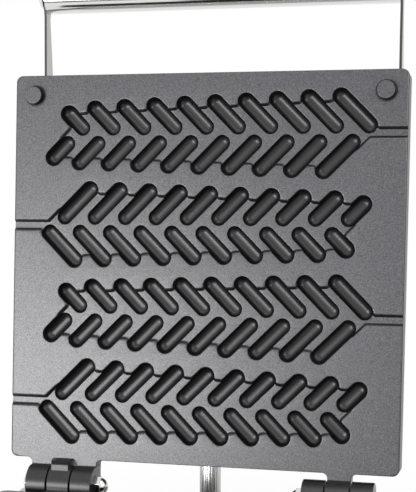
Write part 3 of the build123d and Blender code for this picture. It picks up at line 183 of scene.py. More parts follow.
class Graph:
    """A node tree with one short way to add a node, and sums written as Python expressions."""

    def __init__(self, tree):
        self.tree = tree

    def feed(self, socket, value):
        if isinstance(value, Link):
            self.tree.links.new(value.socket, socket)
        else:
            socket.default_value = value

    def add(self, kind, settings=None, inputs=None, output=0):
        node = self.tree.nodes.new(kind)
        for name, value in (settings or {}).items():
            if name == "stops":
                self.set_stops(node.color_ramp, value)
            else:
                setattr(node, name, value)
        for name, value in (inputs or {}).items():
            self.feed(node.inputs[name], value)
        return Link(self, node.outputs[output])

    def set_stops(self, ramp, stops):
        while len(ramp.elements) < len(stops):
            ramp.elements.new(0.5)
        for element, (place, colour) in zip(ramp.elements, stops):
            element.position = place
            element.color = (*colour, 1.0)

    def maths(self, operation, first, second=0.0):
        return self.add("ShaderNodeMath", {"operation": operation}, {0: first, 1: second})

    def vector(self, operation, first, second=(0, 0, 0), output=0):
        return self.add("ShaderNodeVectorMath", {"operation": operation}, {0: first, 1: second}, output)

    def most(self, *values):
        """The largest of several values."""
        largest = values[0]
        for value in values[1:]:
            largest = self.maths("MAXIMUM", largest, value)
        return largest

    def seen_by(self, *kinds):
        """1 for rays of the kinds named, 0 for all others."""
        return self.most(*(self.add("ShaderNodeLightPath", output=f"Is {kind} Ray") for kind in kinds))

    def rise(self, value, low, high):
        """0 below low, 1 above high, and smooth between them."""
        settings = {"interpolation_type": "SMOOTHSTEP"}
        return self.add("ShaderNodeMapRange", settings, {"Value": value, "From Min": low, "From Max": high})

    def mix(self, factor, first, second):
        """One colour turning into another."""
        inputs = {0: factor, 6: self.colour(first), 7: self.colour(second)}
        return self.add("ShaderNodeMix", {"data_type": "RGBA"}, inputs, output=2)

    def colour(self, value):
        return value if isinstance(value, Link) or len(value) == 4 else (*value, 1.0)


class Finish(Graph):
    """A material around one Principled shader."""

    def __init__(self, name, constants):
        self.material = bpy.data.materials.new(name)
        self.material.use_nodes = True
        super().__init__(self.material.node_tree)
        self.shader = self.tree.nodes["Principled BSDF"]
        for key, value in constants.items():
            self.set(key, self.colour(value) if key.endswith("Color") else value)

    def set(self, key, value):
        self.feed(self.shader.inputs[key], value)

    def place(self, kind="Object"):
        return self.add("ShaderNodeTexCoord", output=kind)

    def along(self, point, direction):
        """How far a point lies along a direction."""
        return self.vector("DOT_PRODUCT", point, tuple(direction), "Value")

    def stretched(self, point, scale, turn=(0, 0, 0)):
        """The point with its pattern turned and then drawn out, so that noise makes a grain."""
        turned = self.add("ShaderNodeMapping", {"vector_type": "POINT"}, {"Vector": point, "Rotation": turn})
        return self.vector("MULTIPLY", turned, scale)

    def noise(self, point, scale, detail=2.0, roughness=0.5):
        inputs = {"Vector": point, "Scale": scale, "Detail": detail, "Roughness": roughness}
        return self.add("ShaderNodeTexNoise", {}, inputs)

    def bump(self, height, distance, strength=1.0):
        inputs = {"Height": height, "Distance": distance, "Strength": strength}
        self.set("Normal", self.add("ShaderNodeBump", {}, inputs))


def scaled(colour, factor):
    """A darker or lighter colour."""
    return tuple(min(1.0, factor * c) for c in colour)


def coated_casting(name, face_point, normal, rear, look):
    """Non-stick coating on cast aluminium, near black: its grey is the sheen of its flecked top coat.
    Cavities, steep walls, the hinge knuckles and a ring round each boss get a darker colour and less top coat
    as painted shade.
    """
    finish = Finish(name, {
        "Specular IOR Level": look.gloss,
        "Coat Roughness": look.sheen_roughness,
        "Coat IOR": look.sheen_index,
    })
    point = finish.place()
    depth = face_point.dot(normal) - finish.along(point, normal)
    facing = finish.along(finish.place("Normal"), normal)
    # painted shade: steep walls, deep recesses and the hinge knuckles make the mask for the darker colour
    steep = 1 - finish.rise(facing, 0.70, 0.96)
    deep = finish.rise(depth, WEB_DEPTH + 0.0006, WEB_DEPTH + 0.0022)
    behind = finish.along(point, rear) - HINGE.dot(rear)
    knuckle = finish.rise(behind, -KNUCKLE_RADIUS - 0.0004, -KNUCKLE_RADIUS + 0.0006)
    dark = finish.most(steep, deep, knuckle)

    flecks = finish.noise(point, look.fleck_scale, detail=3.0, roughness=0.65)
    clouds = finish.noise(point, 45.0)
    pits = finish.rise(finish.noise(point, look.fleck_scale * 0.6, detail=1.0), 0.70, 0.76)
    fleck_light = finish.rise(flecks, 0.34, 0.7)
    face_colour = finish.mix(fleck_light, look.face_low, look.face_high)
    face_colour = finish.mix(finish.rise(clouds, 0.35, 0.7) * 0.35, face_colour, look.face_tint)
    # the darker colour of the painted shade
    cavity_shade_colour = finish.mix(fleck_light, look.cavity_low, look.cavity_high)
    # a dark ring painted round the foot of each boss, on the face around it: painted shade
    boss = face_point - rear * BOSS_REACH
    face_level = finish.rise(depth, -0.004, -0.001)
    boss_shade = 0.0
    for side in (-1, 1):
        reach = finish.vector("DISTANCE", point, boss + ACROSS * side * BOSS_SIDE, "Value")
        inside = 1 - finish.rise(reach, BOSS_RADIUS + 0.0008, BOSS_RADIUS + 0.0018)
        boss_shade = inside * face_level + boss_shade
    # painted shade darkens the base colour in those places
    finish.set("Base Color", finish.mix(finish.most(dark, boss_shade * 0.85), face_colour, cavity_shade_colour))
    rough = look.face_roughness + (flecks - 0.5) * 0.25
    finish.set("Roughness", rough - dark * (look.face_roughness - look.cavity_roughness))
    # the top coat is thinned on steep and shaded parts and at the boss rings, as painted shade
    face_sheen = (0.62 + fleck_light * 0.38) * (1 - pits * 0.7) * (1 - boss_shade * 0.8)
    cavity_sheen = finish.rise(facing, 0.35, 0.9) * look.cavity_sheen
    dark_sheen = cavity_sheen * (1 - knuckle) * dark + knuckle * look.knuckle_sheen
    finish.set("Coat Weight", face_sheen * (1 - dark) + dark_sheen)
    peel = finish.noise(point, look.peel_scale)
    finish.bump(peel + flecks * 0.5, look.peel_depth)
    return finish.material


def brushed_steel(name, colour, roughness, grain=(6.0, 900.0, 900.0), turn=0.0, depth=0.00002, flat=None):
    """Sheet steel with its grain drawn along X, or along another line after a turn about X.

    Where flat gives the direction that the sheet faces, its cut edges are left dull and painted near black as
    shade.
    """
    finish = Finish(name, {"Metallic": 1.0})
    point = finish.place()
    streaks = finish.noise(finish.stretched(point, grain, (turn, 0, 0)), 1.0, detail=4.0, roughness=0.6)
    smears = finish.noise(point, 14.0, detail=3.0)
    shade = finish.rise(streaks, 0.25, 0.75)
    shaded = finish.mix(shade, scaled(colour, 0.86), scaled(colour, 1.07))
    rough = roughness + (streaks - 0.5) * 0.22 + (smears - 0.5) * 0.10
    if flat:
        facing = finish.maths("ABSOLUTE", finish.along(finish.place("Normal"), flat))
        cut_edge_and_shade = 1 - finish.rise(facing, 0.3, 0.8)
        # the edges are painted near black: painted shade; their added roughness is the cut's own
        shaded = finish.mix(cut_edge_and_shade, shaded, scaled(colour, 0.14))
        rough = rough + cut_edge_and_shade * 0.2
    finish.set("Base Color", shaded)
    finish.set("Roughness", rough)
    finish.bump(streaks, depth)
    return finish.material


def polished_steel(name, colour, roughness):
    """Turned and polished steel with faint handling marks."""
    finish = Finish(name, {"Metallic": 1.0, "Base Color": colour})
    point = finish.place()
    rubs = finish.noise(finish.stretched(point, (30.0, 500.0, 500.0)), 1.0, detail=3.0)
    smudges = finish.noise(point, 60.0, detail=3.0)
    finish.set("Roughness", roughness + (smudges - 0.5) * 0.12 + (rubs - 0.5) * 0.08)
    finish.bump(rubs, 0.000006)
    return finish.material


def plated_steel(name, colour, roughness):
    """Zinc plate: a soft metal with cloudy spangle."""
    finish = Finish(name, {"Metallic": 1.0})
    point = finish.place()
    spangle = finish.noise(point, 260.0)
    clouds = finish.rise(spangle, 0.3, 0.7)
    finish.set("Base Color", finish.mix(clouds, scaled(colour, 0.8), colour))
    finish.set("Roughness", roughness + (spangle - 0.5) * 0.2)
    finish.bump(finish.noise(point, 900.0), 0.00001)
    return finish.material


def moulded(name, colour, roughness, grain, depth, coat=0.0):
    """Moulded plastic or rubber with a fine grain and slight wear."""
    finish = Finish(name, {"Coat Weight": coat, "Coat Roughness": 0.08})
    point = finish.place()
    dimples = finish.noise(point, grain)
    wear = finish.noise(point, 70.0, detail=3.0)
    lighter = tuple(min(1.0, 1.5 * c + 0.004) for c in colour)
    finish.set("Base Color", finish.mix(finish.rise(wear, 0.45, 0.75) * 0.5, colour, lighter))
    finish.set("Roughness", roughness + (wear - 0.5) * 0.12)
    finish.bump(dimples, depth)
    return finish.material


def lens_plastic(name, colour):
    """A clear coloured lens, ribbed inside, so that its light would spread."""
    finish = Finish(name, {"Coat Weight": 0.7, "Coat Roughness": 0.03, "Transmission Weight": 0.25})
    point = finish.place()
    cells = finish.add("ShaderNodeTexVoronoi", {"feature": "F1"}, {"Vector": point, "Scale": 1300.0})
    edge = finish.rise(cells, 0.1, 0.6)
    finish.set("Base Color", finish.mix(edge, colour, scaled(colour, 0.45)))
    finish.set("Roughness", 0.12 + edge * 0.1)
    finish.bump(cells, 0.00004)
    return finish.material


def oxidised_sheath(name):
    """The heater's steel sheath, dulled brown and blue by its own heat."""
    finish = Finish(name, {"Metallic": 0.8})
    point = finish.place()
    bands = finish.noise(point, 35.0, detail=4.0)
    stops = [(0.3, (0.09, 0.08, 0.08)), (0.5, (0.2, 0.15, 0.11)), (0.7, (0.16, 0.17, 0.2))]
    finish.set("Base Color", finish.add("ShaderNodeValToRGB", {"stops": stops}, {0: bands}))
    finish.set("Roughness", 0.45 + (bands - 0.5) * 0.3)
    finish.bump(finish.noise(point, 1500.0), 0.00002)
    return finish.material


def fibre_pad(name, colour):
    """Needled ceramic fibre: matt, matted and uneven."""
    finish = Finish(name, {"Roughness": 0.95, "Specular IOR Level": 0.15})
    point = finish.place()
    fibres = finish.noise(finish.stretched(point, (500.0, 120.0, 500.0)), 1.0, detail=5.0, roughness=0.7)
    clumps = finish.noise(point, 60.0, detail=3.0)
    finish.set("Base Color", finish.mix(fibres, scaled(colour, 0.75), colour))
    finish.bump(fibres + clumps, 0.0006)
    return finish.material


def glazed(name, colour):
    """Glazed ceramic with faint specks."""
    finish = Finish(name, {"Roughness": 0.18, "Coat Weight": 0.5})
    point = finish.place()
    specks = finish.rise(finish.noise(point, 1400.0, detail=1.0), 0.68, 0.76)
    finish.set("Base Color", finish.mix(specks, colour, (0.35, 0.3, 0.25)))
    finish.bump(finish.noise(point, 220.0), 0.00005)
    return finish.material


def printed(name, colour):
    """Screen-printed ink, slightly patchy."""
    finish = Finish(name, {"Roughness": 0.55})
    patches = finish.noise(finish.place(), 900.0)
    finish.set("Base Color", finish.mix(finish.rise(patches, 0.5, 0.9) * 0.3, colour, (0.3, 0.3, 0.3)))
    return finish.material


def new_object(name, data):
    piece = bpy.data.objects.new(name, data)
    bpy.context.scene.collection.objects.link(piece)
    return piece


def only_material(piece, material):
    piece.data.materials.clear()
    piece.data.materials.append(material)


def welded(node):
    """A CAD node's mesh as a bmesh: doubles merged, flat areas joined, curved strips as quads."""
    source = frame["nodes"][node].data
    work = bmesh.new()
    verts = [work.verts.new(v.co) for v in source.vertices]
    for polygon in source.polygons:
        work.faces.new([verts[i] for i in polygon.vertices])
    bmesh.ops.remove_doubles(work, verts=work.verts, dist=2e-6)
    bmesh.ops.dissolve_degenerate(work, edges=work.edges, dist=1e-7)
    bmesh.ops.dissolve_limit(
        work, angle_limit=math.radians(0.6), use_dissolve_boundaries=False, verts=work.verts, edges=work.edges
    )
    return work


def baked(piece):
    """The piece with its modifiers made real, and none left on it."""
    graph = bpy.context.evaluated_depsgraph_get()
    mesh = bpy.data.meshes.new_from_object(piece.evaluated_get(graph), depsgraph=graph)
    old = piece.data
    piece.modifiers.clear()
    if piece.type == "MESH":
        piece.data = mesh
        bpy.data.meshes.remove(old)
        return piece
    name = piece.name
    bpy.data.objects.remove(piece)
    return new_object(name, mesh)


def smooth(mesh, sharp_angle=SHARP_ANGLE):
    mesh.shade_smooth()
    mesh.set_sharp_from_angle(angle=math.radians(sharp_angle))


def from_bmesh(name, work):
    mesh = bpy.data.meshes.new(name)
    work.to_mesh(mesh)
    work.free()
    return new_object(name, mesh)


def rounded_copy(name, node, width, segments=2, share=None):
    """A copy of a CAD node with its edges rounded, all alike or by the share that each edge gets."""
    work = welded(node)
    angle = math.radians(SHARP_ANGLE)
    big = [face for face in work.faces if len(face.verts) > 4]
    bmesh.ops.triangulate(work, faces=big, quad_method="BEAUTY", ngon_method="BEAUTY")
    if share:
        weight = work.edges.layers.float.new("bevel_weight_edge")
        for edge in work.edges:
            if edge.calc_face_angle(0.0) > angle:
                edge[weight] = share(edge)
    solid = BVHTree.FromBMesh(work)
    piece = from_bmesh(name, work)
    if width:
        bevel = piece.modifiers.new("edge round", "BEVEL")
        bevel.width = width
        bevel.segments = segments
        bevel.limit_method = "WEIGHT" if share else "ANGLE"
        bevel.angle_limit = angle
        bevel.use_clamp_overlap = False
        bevel.loop_slide = False
        bevel.miter_outer = "MITER_SHARP"
        baked(piece)
        for vert in piece.data.vertices:          # a mitre that has left the solid goes back to it
            place, _, _, gap = solid.find_nearest(vert.co)
            if gap > STRAY_SHARE * width:
                vert.co = place
    smooth(piece.data)
    piece.modifiers.new("flat shading", "WEIGHTED_NORMAL").keep_sharp = True
    return baked(piece)


def dress(piece, material, body, slot=None, nodes=()):
    """Gives a finished piece its material, its body and the nodes that it stands for; the slot is not used.
    """
    only_material(piece, material)
    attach(piece, body)
    if nodes:
        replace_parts(piece, *nodes)
    return piece


def body_of(node):
    return frame["nodes"][node]["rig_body"]


def slot_of(node):
    rows = frame["record"]["subparts"]
    return next(row["material_slot"] for row in rows if row["node"] == node)


def stand_in(piece, node, material):
    """Dresses a piece that takes one CAD node's place."""
    return dress(piece, material, body_of(node), slot_of(node), [node])


def finish_nodes(material, width, *nodes, segments=2):
    """Replaces CAD nodes with their rounded copies."""
    for node in nodes:
        stand_in(rounded_copy(node + "_finished", node, width, segments), node, material)


def lathe(name, profile, sides):
    """A solid of revolution about Z from (radius, height) points, from the axis to the axis or closed."""
    work = bmesh.new()
    rings = []
    for radius, height in profile:
        if radius < 1e-9:
            rings.append([work.verts.new((0, 0, height))])
            continue
        turns = [2 * math.pi * i / sides for i in range(sides)]
        rings.append([work.verts.new((radius * math.cos(t), radius * math.sin(t), height)) for t in turns])
    for low, high in zip(rings, rings[1:]):
        for i in range(sides):
            j = (i + 1) % sides
            corners = [low[i % len(low)], low[j % len(low)], high[j % len(high)], high[i % len(high)]]
            work.faces.new(list(dict.fromkeys(corners)))
    bmesh.ops.recalc_face_normals(work, faces=work.faces)
    return from_bmesh(name, work)


def arc_points(centre, radius, start, end, count):
    """Points on an arc, its angles in degrees."""
    turns = [math.radians(start + (end - start) * i / (count - 1)) for i in range(count)]
    return [(centre[0] + radius * math.cos(t), centre[1] + radius * math.sin(t)) for t in turns]


def prism(name, sides, radius, low, high):
    """An upright prism, for nuts and for cutting sockets."""
    work = bmesh.new()
    matrix = Matrix.Translation((0, 0, (low + high) / 2))
    bmesh.ops.create_cone(
        work, cap_ends=True, segments=sides, radius1=radius, radius2=radius, depth=high - low, matrix=matrix
    )
    return from_bmesh(name, work)


def box_piece(name, low, high, edge=0.0):
    """A box between two corners, its edges rounded where edge is given."""
    work = bmesh.new()
    size = Vector(high) - Vector(low)
    matrix = Matrix.Translation((Vector(low) + Vector(high)) / 2) @ Matrix.Diagonal((*size, 1.0))
    bmesh.ops.create_cube(work, size=1.0, matrix=matrix)
    if edge:
        bmesh.ops.bevel(work, geom=work.edges, offset=edge, segments=2, affect="EDGES", profile=0.5)
    return from_bmesh(name, work)


def cut(piece, cutters):
    """Takes the cutters out of the piece and removes them."""
    for cutter in cutters:
        step = piece.modifiers.new("cut", "BOOLEAN")
        step.operation = "DIFFERENCE"
        step.solver = "EXACT"
        step.object = cutter
    baked(piece)
    for cutter in cutters:
        bpy.data.objects.remove(cutter)
    return piece


def moved(piece, matrix):
    piece.data.transform(matrix)
    return piece


def join(name, pieces):
    """One piece from several, in their order."""
    work = bmesh.new()
    for piece in pieces:
        work.from_mesh(piece.data)
        bpy.data.objects.remove(piece)
    return from_bmesh(name, work)


def frame_at(point, z_axis, y_axis):
    """The matrix of a frame at a point, from its Z axis and its Y axis."""
    z = Vector(z_axis).normalized()
    y = Vector(y_axis).normalized()
    x = y.cross(z)
    return Matrix.Translation(point) @ Matrix((x, y, z)).transposed().to_4x4()


def on_panel(joint):
    """The panel's frame at a joint that stands in it."""
    return frame_at(Vector(JOINTS[joint]["pos_m"]), PANEL_NORMAL, PANEL_UP)


def solid_ends(node, axis):
    """For each separate solid of a node, the middle of its end along an axis, and its length that way."""
    work = welded(node)
    axis = Vector(axis).normalized()
    left = set(work.verts)
    ends = []
    while left:
        grow = [left.pop()]
        solid = list(grow)
        while grow:
            for edge in grow.pop().link_edges:
                for vert in edge.verts:
                    if vert in left:
                        left.remove(vert)
                        grow.append(vert)
                        solid.append(vert)
        points = np.array([v.co for v in solid])
        reach = points @ np.array(axis)
        middle = Vector((points.min(0) + points.max(0)) / 2)
        ends.append((middle + axis * (reach.max() - middle.dot(axis)), reach.max() - reach.min()))
    work.free()
    return sorted(ends, key=lambda end: tuple(round(c, 4) for c in end[0]))


class Growth(Graph):
    """A Geometry Nodes tree with named inputs, run once on an object and then made real."""

    def __init__(self, name, sockets):
        super().__init__(bpy.data.node_groups.new(name, "GeometryNodeTree"))
        ends = [("Geometry", "Geometry", "OUTPUT"), ("Geometry", "Geometry", "INPUT")]
        for label, kind, way in ends + [(*socket, "INPUT") for socket in sockets]:
            self.tree.interface.new_socket(name=label, in_out=way, socket_type="NodeSocket" + kind)
        self.start = self.tree.nodes.new("NodeGroupInput")

    def given(self, label):
        return Link(self, self.start.outputs[label])

    def end(self, geometry):
        """Realizes the instances, sets the material and closes the tree."""
        real = self.add("GeometryNodeRealizeInstances", {}, {"Geometry": geometry})
        inputs = {"Geometry": real, "Material": self.given("Material")}
        coated = self.add("GeometryNodeSetMaterial", {}, inputs)
        self.feed(self.tree.nodes.new("NodeGroupOutput").inputs[0], coated)
        return self

    def end_with_copies(self, points, **inputs):
        """Puts the given object on the points and closes the tree."""
        copy = self.add("GeometryNodeObjectInfo", {}, {"Object": self.given("Copy")}, output="Geometry")
        inputs = {"Points": points, "Instance": copy, **inputs}
        return self.end(self.add("GeometryNodeInstanceOnPoints", {}, inputs))

    def run(self, piece, **values):
        """Runs the tree on an object, which becomes a plain mesh."""
        step = piece.modifiers.new("growth", "NODES")
        step.node_group = self.tree
        for item in self.tree.interface.items_tree:
            label = item.name.lower().replace(" ", "_")
            if item.in_out == "INPUT" and label in values:
                step[item.identifier] = values[label]
        piece.update_tag()
        return baked(piece)

    def fill(self, name, copy, **values):
        """Runs the tree on a new object, and removes the object that it makes copies of."""
        holder = new_object(name, bpy.data.meshes.new(name))
        piece = self.run(holder, copy=copy, **values)
        bpy.data.objects.remove(copy)
        return piece


def ring_growth():
    """Copies of one object on an arc about Z, clockwise from Y; from 2 on, each nth of them is left out."""
    sockets = [
        ("Copy", "Object"), ("Count", "Int"), ("Radius", "Float"), ("Step", "Float"),
        ("Leave Out Every", "Int"), ("Material", "Material"),
    ]
    growth = Growth("ring of copies", sockets)
    points = growth.add("GeometryNodePoints", {}, {"Count": growth.given("Count")})
    index = growth.add("GeometryNodeInputIndex")
    angle = index * growth.given("Step")
    reach = growth.given("Radius")
    x = growth.maths("SINE", angle) * reach
    y = growth.maths("COSINE", angle) * reach
    spot = growth.add("ShaderNodeCombineXYZ", {}, {0: x, 1: y})
    points = growth.add("GeometryNodeSetPosition", {}, {"Geometry": points, "Position": spot})
    turn = growth.add("ShaderNodeCombineXYZ", {}, {2: -angle})
    every = growth.given("Leave Out Every")
    all_kept = growth.maths("LESS_THAN", every, 1.5)
    kept = growth.maths("GREATER_THAN", growth.maths("MODULO", index, every) + all_kept, 0.5)
    return growth.end_with_copies(points, Selection=kept, Rotation=turn)


def row_growth():
    """Copies of one object in a straight row."""
    sockets = [("Copy", "Object"), ("Count", "Int"), ("Step", "Vector"), ("Material", "Material")]
    growth = Growth("row of copies", sockets)
    inputs = {"Count": growth.given("Count"), "Offset": growth.given("Step")}
    return growth.end_with_copies(growth.add("GeometryNodeMeshLine", {"mode": "OFFSET"}, inputs))


def sleeve_growth():
    """A fluted metal sleeve along a curve, closed at both ends."""
    sockets = [
        ("Radius", "Float"), ("Flutes", "Int"), ("Flute Depth", "Float"), ("Steps", "Int"),
        ("Material", "Material"),
    ]
    growth = Growth("fluted sleeve", sockets)
    inputs = {"Curve": growth.given("Geometry"), "Count": growth.given("Steps")}
    path = growth.add("GeometryNodeResampleCurve", {}, inputs)
    inputs = {"Resolution": growth.given("Flutes") * 4.0, "Radius": growth.given("Radius")}
    ring = growth.add("GeometryNodeCurvePrimitiveCircle", {}, inputs)
    index = growth.add("GeometryNodeInputIndex")
    wave = growth.maths("COSINE", index * (math.pi / 2)) * growth.given("Flute Depth")
    outward = growth.vector("NORMALIZE", growth.add("GeometryNodeInputPosition"))
    shift = growth.vector("MULTIPLY", outward, wave)
    ring = growth.add("GeometryNodeSetPosition", {}, {"Geometry": ring, "Offset": shift})
    inputs = {"Curve": path, "Profile Curve": ring, "Fill Caps": True}
    return growth.end(growth.add("GeometryNodeCurveToMesh", {}, inputs))


def number_property(name, words, value, **more):
    return FloatProperty(name=name, description=words, default=value, min=0.0, **more)


def length_property(name, words, value):
    return number_property(name, words, value, precision=5, unit="LENGTH")


def factor_property(name, words, value):
    return number_property(name, words, value, max=1.0, subtype="FACTOR")


def power_property(name, words, value):
    return number_property(name, words, value, unit="POWER")


def colour_property(name, words, value):
    return FloatVectorProperty(
        name=name, description=words, default=value, size=3, min=0.0, max=1.0, subtype="COLOR"
    )


class CastingLook(bpy.types.PropertyGroup):
    """The non-stick coating of the two castings."""

    face_low: colour_property("Face low", "Coating between the flecks", (0.022, 0.022, 0.027))
    face_high: colour_property("Face high", "Coating at the flecks", (0.082, 0.082, 0.091))
    face_tint: colour_property("Face tint", "Faint tint of the clouds", (0.046, 0.044, 0.058))
    # painted shade: the darker colours that cavities, steep walls and knuckles take
    cavity_low: colour_property("Cavity shade low", "Cavity coating between the flecks", (0.003, 0.003, 0.0035))
    cavity_high: colour_property("Cavity shade high", "Cavity coating at the flecks", (0.012, 0.012, 0.014))
    gloss: factor_property("Gloss", "Specular level below the top coat", 0.14)
    sheen_index: number_property("Sheen index", "Refractive index of the top coat", 1.8)
    sheen_roughness: factor_property("Sheen roughness", "Roughness of the top coat", 0.38)
    # a lower top coat in the cavities and on the knuckles darkens them: painted shade
    cavity_sheen: factor_property("Cavity sheen", "Weight of the top coat on cavity floors", 0.42)
    knuckle_sheen: factor_property("Knuckle sheen", "Weight of the top coat on the knuckles", 0.45)
    face_roughness: factor_property("Face roughness", "Roughness of the flat faces", 0.44)
    cavity_roughness: factor_property("Cavity roughness", "Roughness inside the cavities", 0.3)
    fleck_scale: number_property("Fleck scale", "Flecks per metre", 1150.0)
    peel_scale: number_property("Peel scale", "Orange-peel waves per metre", 620.0)
    peel_depth: length_property("Peel depth", "Height of the orange peel", 0.00012)
    edge_round: length_property("Edge round", "Rounding of the mouths and edges", 0.00065)
    cavity_share: factor_property("Cavity share", "Share of that rounding on the edges in the cavities", 0.45)


class SteelLook(bpy.types.PropertyGroup):
    """Sheet, tube and plated steel."""

    sheet: colour_property("Sheet", "Brushed stainless sheet", (0.47, 0.465, 0.45))
    sheet_roughness: factor_property("Sheet roughness", "Roughness of the brushed sheet", 0.33)
    polish: colour_property("Polish", "Polished stainless", (0.76, 0.76, 0.75))
    polish_roughness: factor_property("Polish roughness", "Roughness of the polished steel", 0.14)
    zinc: colour_property("Zinc", "Bright zinc plate", (0.56, 0.57, 0.6))
    zinc_roughness: factor_property("Zinc roughness", "Roughness of the plating", 0.36)
    sleeve: colour_property("Sleeve", "Conduit sleeve", (0.66, 0.66, 0.65))
    flutes: IntProperty(name="Flutes", description="Lengthwise flutes of the sleeve", default=22, min=6)
    flute_depth: length_property("Flute depth", "Depth of the sleeve's flutes", 0.00022)
    edge_round: length_property("Edge round", "Rounding of sheet edges", 0.0003)


class ControlLook(bpy.types.PropertyGroup):
    """Knobs, figures, rocker and lamps."""

    plastic: colour_property("Plastic", "Black plastic", (0.028, 0.028, 0.03))
    figure_height: length_property("Figure height", "Height of the dial figures", 0.0048)
    figure_radius: length_property("Figure radius", "Dial centre to the middle of its figures", 0.0325)
    tick_radius: length_property("Tick radius", "Dial centre to the inner ends of the ticks", 0.0245)
    tick_length: length_property("Tick length", "Length of a main tick", 0.0034)
    print_height: length_property("Print height", "Thickness of the printed ink", 0.00008)
    green: colour_property("Green", "Power lamp lens", (0.03, 0.4, 0.09))
    amber: colour_property("Amber", "Heating lamp lens", (0.8, 0.3, 0.02))
    marks: BoolProperty(name="Marks", description="Figures and ticks round the dials", default=True)


class StageLook(bpy.types.PropertyGroup):
    """Floor, world, lamps and camera."""

    floor: colour_property("Floor", "Floor colour", (0.86, 0.86, 0.86))
    ambient: number_property("Ambient", "World light on diffuse surfaces", 0.38)
    key_power: power_property("Key", "Soft key lamp", 15.0)
    side_power: power_property("Side", "Lamp on the right", 6.0)
    fill_power: power_property("Fill", "Overhead fill lamp", 9.0)
    focal_pixels: number_property("Focal length", "Focal length in pixels", 1265.9)


class WAFFLE_OT_castings(bpy.types.Operator):
    """Copies both castings, rounds their edges and coats them"""

    bl_idname = "waffle.castings"
    bl_label = "Cast plates"

    def execute(self, context):
        look = context.scene.waffle_casting
        sides = (
            ("upper_plate", "upper_casting", LID_NORMAL, -LID_FORWARD),
            ("lower_plate", "lower_casting", UP, Vector((0, 1, 0))),
        )
        for node, name, normal, rear in sides:
            face_point = HINGE - normal * FACE_GAP
            material = coated_casting(name + "_coating", face_point, normal, rear, look)

            def share(edge):
                """All of the rounding on the face, the sides and the back, less of it in the cavities."""
                depths = [(face_point - vert.co).dot(normal) for vert in edge.verts]
                on_face, behind = max(depths) < WEB_DEPTH / 4, min(depths) > 2 * WEB_DEPTH
                return 1.0 if on_face or behind else look.cavity_share

            stand_in(rounded_copy(name, node, look.edge_round, share=share), node, material)
        return {"FINISHED"}


class WAFFLE_OT_handle(bpy.types.Operator):
    """Finishes the lid shell, the two straps, the grip tube and its end bolts"""

    bl_idname = "waffle.handle"
    bl_label = "Lid shell and handle"

    def execute(self, context):
        look = context.scene.waffle_steel
        across = brushed_steel("lid_sheet", look.sheet, look.sheet_roughness)
        along = brushed_steel(
            "strap_sheet", look.sheet, look.sheet_roughness,
            grain=(900.0, 6.0, 900.0), turn=OPEN_ANGLE - math.pi, flat=ACROSS,
        )
        tube = polished_steel("tube_polish", look.polish, look.polish_roughness)
        finish_nodes(across, look.edge_round, "upper_shell")
        finish_nodes(along, look.edge_round, "handle_strap_left", "handle_strap_right")
        finish_nodes(tube, look.edge_round, "handle_tube", "handle_end_bolts")
        return {"FINISHED"}


class WAFFLE_OT_hinges(bpy.types.Operator):
    """Finishes the hinge pins and their domed nuts"""

    bl_idname = "waffle.hinges"
    bl_label = "Hinge pins and nuts"

    def execute(self, context):
        look = context.scene.waffle_steel
        bright = polished_steel("nut_polish", look.polish, look.polish_roughness)
        finish_nodes(bright, look.edge_round, "hinge_pins", "hinge_dome_nuts")
        return {"FINISHED"}


class WAFFLE_OT_conduit(bpy.types.Operator):
    """Makes the fluted conduit sleeve between its two unions"""

    bl_idname = "waffle.conduit"
    bl_label = "Conduit"

    def execute(self, context):
        look = context.scene.waffle_steel
        zinc = plated_steel("union_plating", look.zinc, look.zinc_roughness)
        finish_nodes(zinc, look.edge_round, "conduit_lid_union", "conduit_base_union")
        top = union_mouth("conduit_lid_union", -LID_FORWARD)
        bottom = union_mouth("conduit_base_union", UP)
        curve = bpy.data.curves.new("conduit_sleeve", "CURVE")
        curve.dimensions = "3D"
        spline = curve.splines.new("BEZIER")
        spline.bezier_points.add(1)
        reach = (top - bottom).length / 3
        ends = ((bottom, UP), (top, LID_FORWARD))
        for knot, (place, direction) in zip(spline.bezier_points, ends):
            knot.co = place
            knot.handle_left = place - direction * reach
            knot.handle_right = place + direction * reach
        piece = new_object("conduit_sleeve", curve)
        sleeve = brushed_steel("sleeve_steel", look.sleeve, 0.3, grain=(500.0, 500.0, 9.0), depth=0.00003)
        piece = sleeve_growth().run(
            piece, radius=CONDUIT_RADIUS - look.flute_depth, flutes=look.flutes,
            flute_depth=look.flute_depth, steps=24, material=sleeve,
        )
        smooth(piece.data, 50.0)
        only_material(piece, sleeve)
        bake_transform(piece)
        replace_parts(piece, "conduit")
        return {"FINISHED"}


def union_mouth(node, direction):
    """The middle of a union's open end."""
    return solid_ends(node, direction)[0][0]


class WAFFLE_OT_base_box(bpy.types.Operator):
    """Finishes the housing, its panels, the feet and the inlet gland"""

    bl_idname = "waffle.base_box"
    bl_label = "Base box"

    def execute(self, context):
        steel = context.scene.waffle_steel
        controls = context.scene.waffle_controls
        sheet = brushed_steel("housing_sheet", steel.sheet, steel.sheet_roughness)
        finish_nodes(sheet, steel.edge_round, "base_housing", "control_panel", "back_panel", "bottom_cover")
        zinc = plated_steel("bolt_plating", steel.zinc, steel.zinc_roughness)
        finish_nodes(zinc, steel.edge_round, "foot_bolts")
        rubber = moulded("foot_rubber", (0.022, 0.022, 0.023), roughness=0.78, grain=1600.0, depth=0.00004)
        finish_nodes(rubber, 0.0007, "feet", segments=3)
        nylon = moulded("gland_nylon", controls.plastic, roughness=0.45, grain=2200.0, depth=0.00002)
        finish_nodes(nylon, 0.0006, "mains_gland", segments=3)
        return {"FINISHED"}


def figure(text, height, thickness):
    """One figure as a thin closed mesh, centred on the origin in the XY plane."""
    curve = bpy.data.curves.new("figure", "FONT")
    curve.body = text
    curve.size = height / 0.7          # a figure stands 0.7 of its font's size high
    curve.align_x = "CENTER"
    curve.align_y = "CENTER"
    curve.extrude = thickness / 2
    curve.resolution_u = 4
    piece = baked(new_object("figure", curve))
    return moved(piece, Matrix.Translation((0, 0, thickness / 2)))


